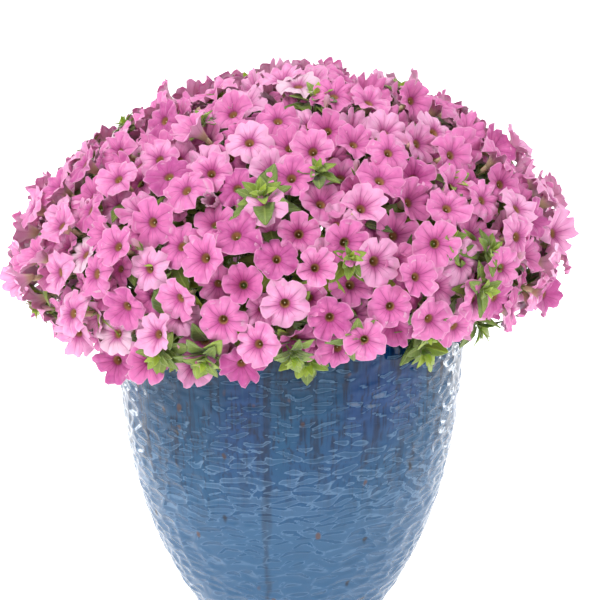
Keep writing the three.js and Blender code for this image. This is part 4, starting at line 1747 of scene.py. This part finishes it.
@dataclass
class Soil:
    """The potting mix, with a crumbly top."""

    pot: Pot
    gap: float = 1.2 * MM
    crown: float = 6 * MM
    rings: int = 14
    columns: int = 96
    side_rows: int = 8
    crumb: float = 3.5 * MM
    crumbs: int = 260
    crumb_sizes: tuple[float, float] = (1.5 * MM, 4.0 * MM)
    crumb_shape: tuple[float, ...] = (1, 0.7, 0.6, 1)
    smooth_edge: float = 4 * MM
    seed: int = 55

    def build(self, earth: bpy.types.Material) -> None:
        """Makes the soil's piece.

        Args:
            earth: The soil's finish.
        """
        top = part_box("potting_soil")[1].z
        edge_top = top - self.crown
        bottom = self.pot.floor_top + self.gap
        side = self.pot.line(bottom, edge_top, self.pot.wall + self.gap, self.side_rows)
        edge = side[-1][0]
        shares = [k / self.rings for k in range(1, self.rings)]
        across = [(edge * (1 - share), edge_top + self.crown * share) for share in shares]
        bm = bmesh.new()
        spin_profile(bm, [(0, bottom), *side, *across, (0, top)], self.columns)
        for vert in bm.verts:
            inside = math.hypot(vert.co.x, vert.co.y) < edge - self.smooth_edge
            if inside and vert.co.z > edge_top - MM:
                vert.co.z += self.crumb * noise.noise(vert.co * 90) - 0.5 * self.crumb
        source = PlantRandom(self.seed)
        for _ in range(self.crumbs):
            out = edge * 0.95 * math.sqrt(source.draw())
            turn = source.draw() * TURN
            size = source.between(*self.crumb_sizes)
            height = edge_top + self.crown / 2 * (1 - out / edge)
            where = Matrix.Translation((out * math.cos(turn), out * math.sin(turn), height))
            where = where @ Matrix.Rotation(source.draw() * 3, 4, "X") @ Matrix.Diagonal(self.crumb_shape)
            bmesh.ops.create_icosphere(bm, subdivisions=1, radius=size, matrix=where)
        make_piece(bm, "potting_mix", earth, ["potting_soil"])


# Studio


@dataclass(frozen=True)
class Softbox:
    """A soft light that looks at the plant: its place, the size of its face and its power in watts."""

    name: str
    place: tuple[float, float, float]
    width: float
    height: float
    power: float

    def hang(self, aim: Vector) -> None:
        """Hangs the light.

        Args:
            aim: The point that it looks at.
        """
        data = bpy.data.lights.new(self.name, "AREA")
        data.shape = "RECTANGLE"
        data.size = self.width
        data.size_y = self.height
        data.energy = self.power
        light = bpy.data.objects.new(self.name, data)
        light.location = self.place
        light.visible_camera = False
        light.rotation_euler = (aim - Vector(self.place)).to_track_quat("-Z", "Y").to_euler()
        bpy.context.scene.collection.objects.link(light)


@dataclass
class Studio:
    """The pale floor, the soft lights and the camera."""

    lens: float = 113.6
    sensor: float = 36.0
    elevation: float = math.radians(11)
    distance: float = 2.5
    aim: tuple[float, float, float] = (13 * MM, 0.0, 443 * MM)
    sweep: tuple[tuple[float, float], ...] = ((0, 0), (14, 0), (17, 0.7), (19, 2.4), (20, 7))
    paper: str = "f7f7f7"
    least_glow: float = 0.45
    room_light: float = 0.26
    lights: tuple[Softbox, ...] = (
        Softbox("key", (-1.5, -2.0, 2.6), 1.3, 1.3, 66),
        Softbox("fill", (2.2, -1.6, 1.4), 1.2, 1.2, 16),
        Softbox("rear", (-1.4, 2.4, 2.0), 1.6, 1.6, 18),
        Softbox("left", (-1.3, 0.9, 0.4), 0.3, 0.8, 4),
        Softbox("right", (1.3, 0.9, 0.4), 0.3, 0.8, 4),
        Softbox("top", (0.3, 0.2, 3.2), 2.0, 2.0, 36),
    )

    def build(self) -> None:
        """Sets the whole stage."""
        bpy.context.scene.view_settings.view_transform = "Standard"
        self.camera()
        self.floor()
        self.world()
        for light in self.lights:
            light.hang(Vector(self.aim))

    def camera(self) -> None:
        """Looks at the plant as the photograph does."""
        data = bpy.data.cameras.new("camera")
        data.lens = self.lens
        data.sensor_width = self.sensor
        camera = bpy.data.objects.new("camera", data)
        back = Vector((0, -math.cos(self.elevation), math.sin(self.elevation)))
        camera.location = Vector(self.aim) + back * self.distance
        camera.rotation_euler = (-back).to_track_quat("-Z", "Y").to_euler()
        bpy.context.scene.collection.objects.link(camera)
        bpy.context.scene.camera = camera

    def floor(self) -> None:
        """Lays a plain pale floor that turns up far away on all sides."""
        bm = bmesh.new()
        spin_profile(bm, list(self.sweep), 64)
        for face in bm.faces:
            face.smooth = True
        mesh = bpy.data.meshes.new("floor")
        bm.to_mesh(mesh)
        bm.free()
        make = Recipe("floor_paper")
        paper = tint(self.paper)
        back = make.node("SeparateXYZ", {0: make.place()}).outputs[1]
        glow = make.plus(make.ease(back, -1.3, -0.4, 0.35), make.ease(back, 0.2, 1.4, 0.4))
        light = {"Emission_Color": paper, "Emission_Strength": make.plus(glow, self.least_glow)}
        mesh.materials.append(make.finish(paper, Roughness=0.9, **light))
        floor = bpy.data.objects.new("floor", mesh)
        bpy.context.scene.collection.objects.link(floor)

    def world(self) -> None:
        """Fills the room with even, white light."""
        world = bpy.data.worlds.new("studio")
        world.use_nodes = True
        background = next(n for n in world.node_tree.nodes if n.type == "BACKGROUND")
        background.inputs["Color"].default_value = (1, 1, 1, 1)
        background.inputs["Strength"].default_value = self.room_light
        bpy.context.scene.world = world


def shoots(plan: PlantPlan, patches: list[Patch], patterns: Patterns) -> list[Shoot]:
    """The leafy shoots, in the channels and over the rim.

    Args:
        plan: The plant's plan.
        patches: The sprays' patches.
        patterns: The pattern meshes.

    Returns:
        The shoots.
    """
    rings = (
        ("top_shoot", plan.upper_sprays, plan.upper_start, patches[0].stop),
        ("side_shoot", plan.lower_sprays // 2, plan.lower_start, patches[1].stop),
        ("rim_shoot", plan.lower_sprays, plan.lower_start, plan.mound.end),
    )
    return [
        Shoot(plan, f"{name}_{k + 1}", angle, first + TURN * k / count, patterns)
        for name, count, first, angle in rings
        for k in range(count)
    ]


def main() -> None:
    """Builds the plant, its pot and the studio, and reports each piece."""
    logging.basicConfig(level=logging.INFO, format="%(message)s")
    Studio().build()
    pot = Pot()
    pot.build(GlazeFinish().material())
    Soil(pot).build(SoilFinish().material())

    plan = PlantPlan()
    patches = plan.patches()
    seats = plan.seats(patches)
    fillers = plan.fillers(patches, seats)
    REPORT.info("blooms: %d, and %d between them", len(seats), len(fillers))
    seats += fillers
    patterns = Patterns()
    petal = PetalFinish().material()
    leaf = LeafFinish().material()
    for patch in patches:
        own = [seat for seat in seats if seat.patch is patch]
        tufts = [tuft for tuft in plan.tufts if plan.patch_of(patches, tuft) is patch]
        Spray(plan, patch, own, tufts, patterns).build(petal, leaf)
    for shoot in shoots(plan, patches, patterns):
        shoot.build(leaf)
    patterns.clear()

    faces = sum(len(mesh.polygons) for mesh in bpy.data.meshes)
    REPORT.info("faces in all: %d", faces)


if __name__ == "__main__":
    main()
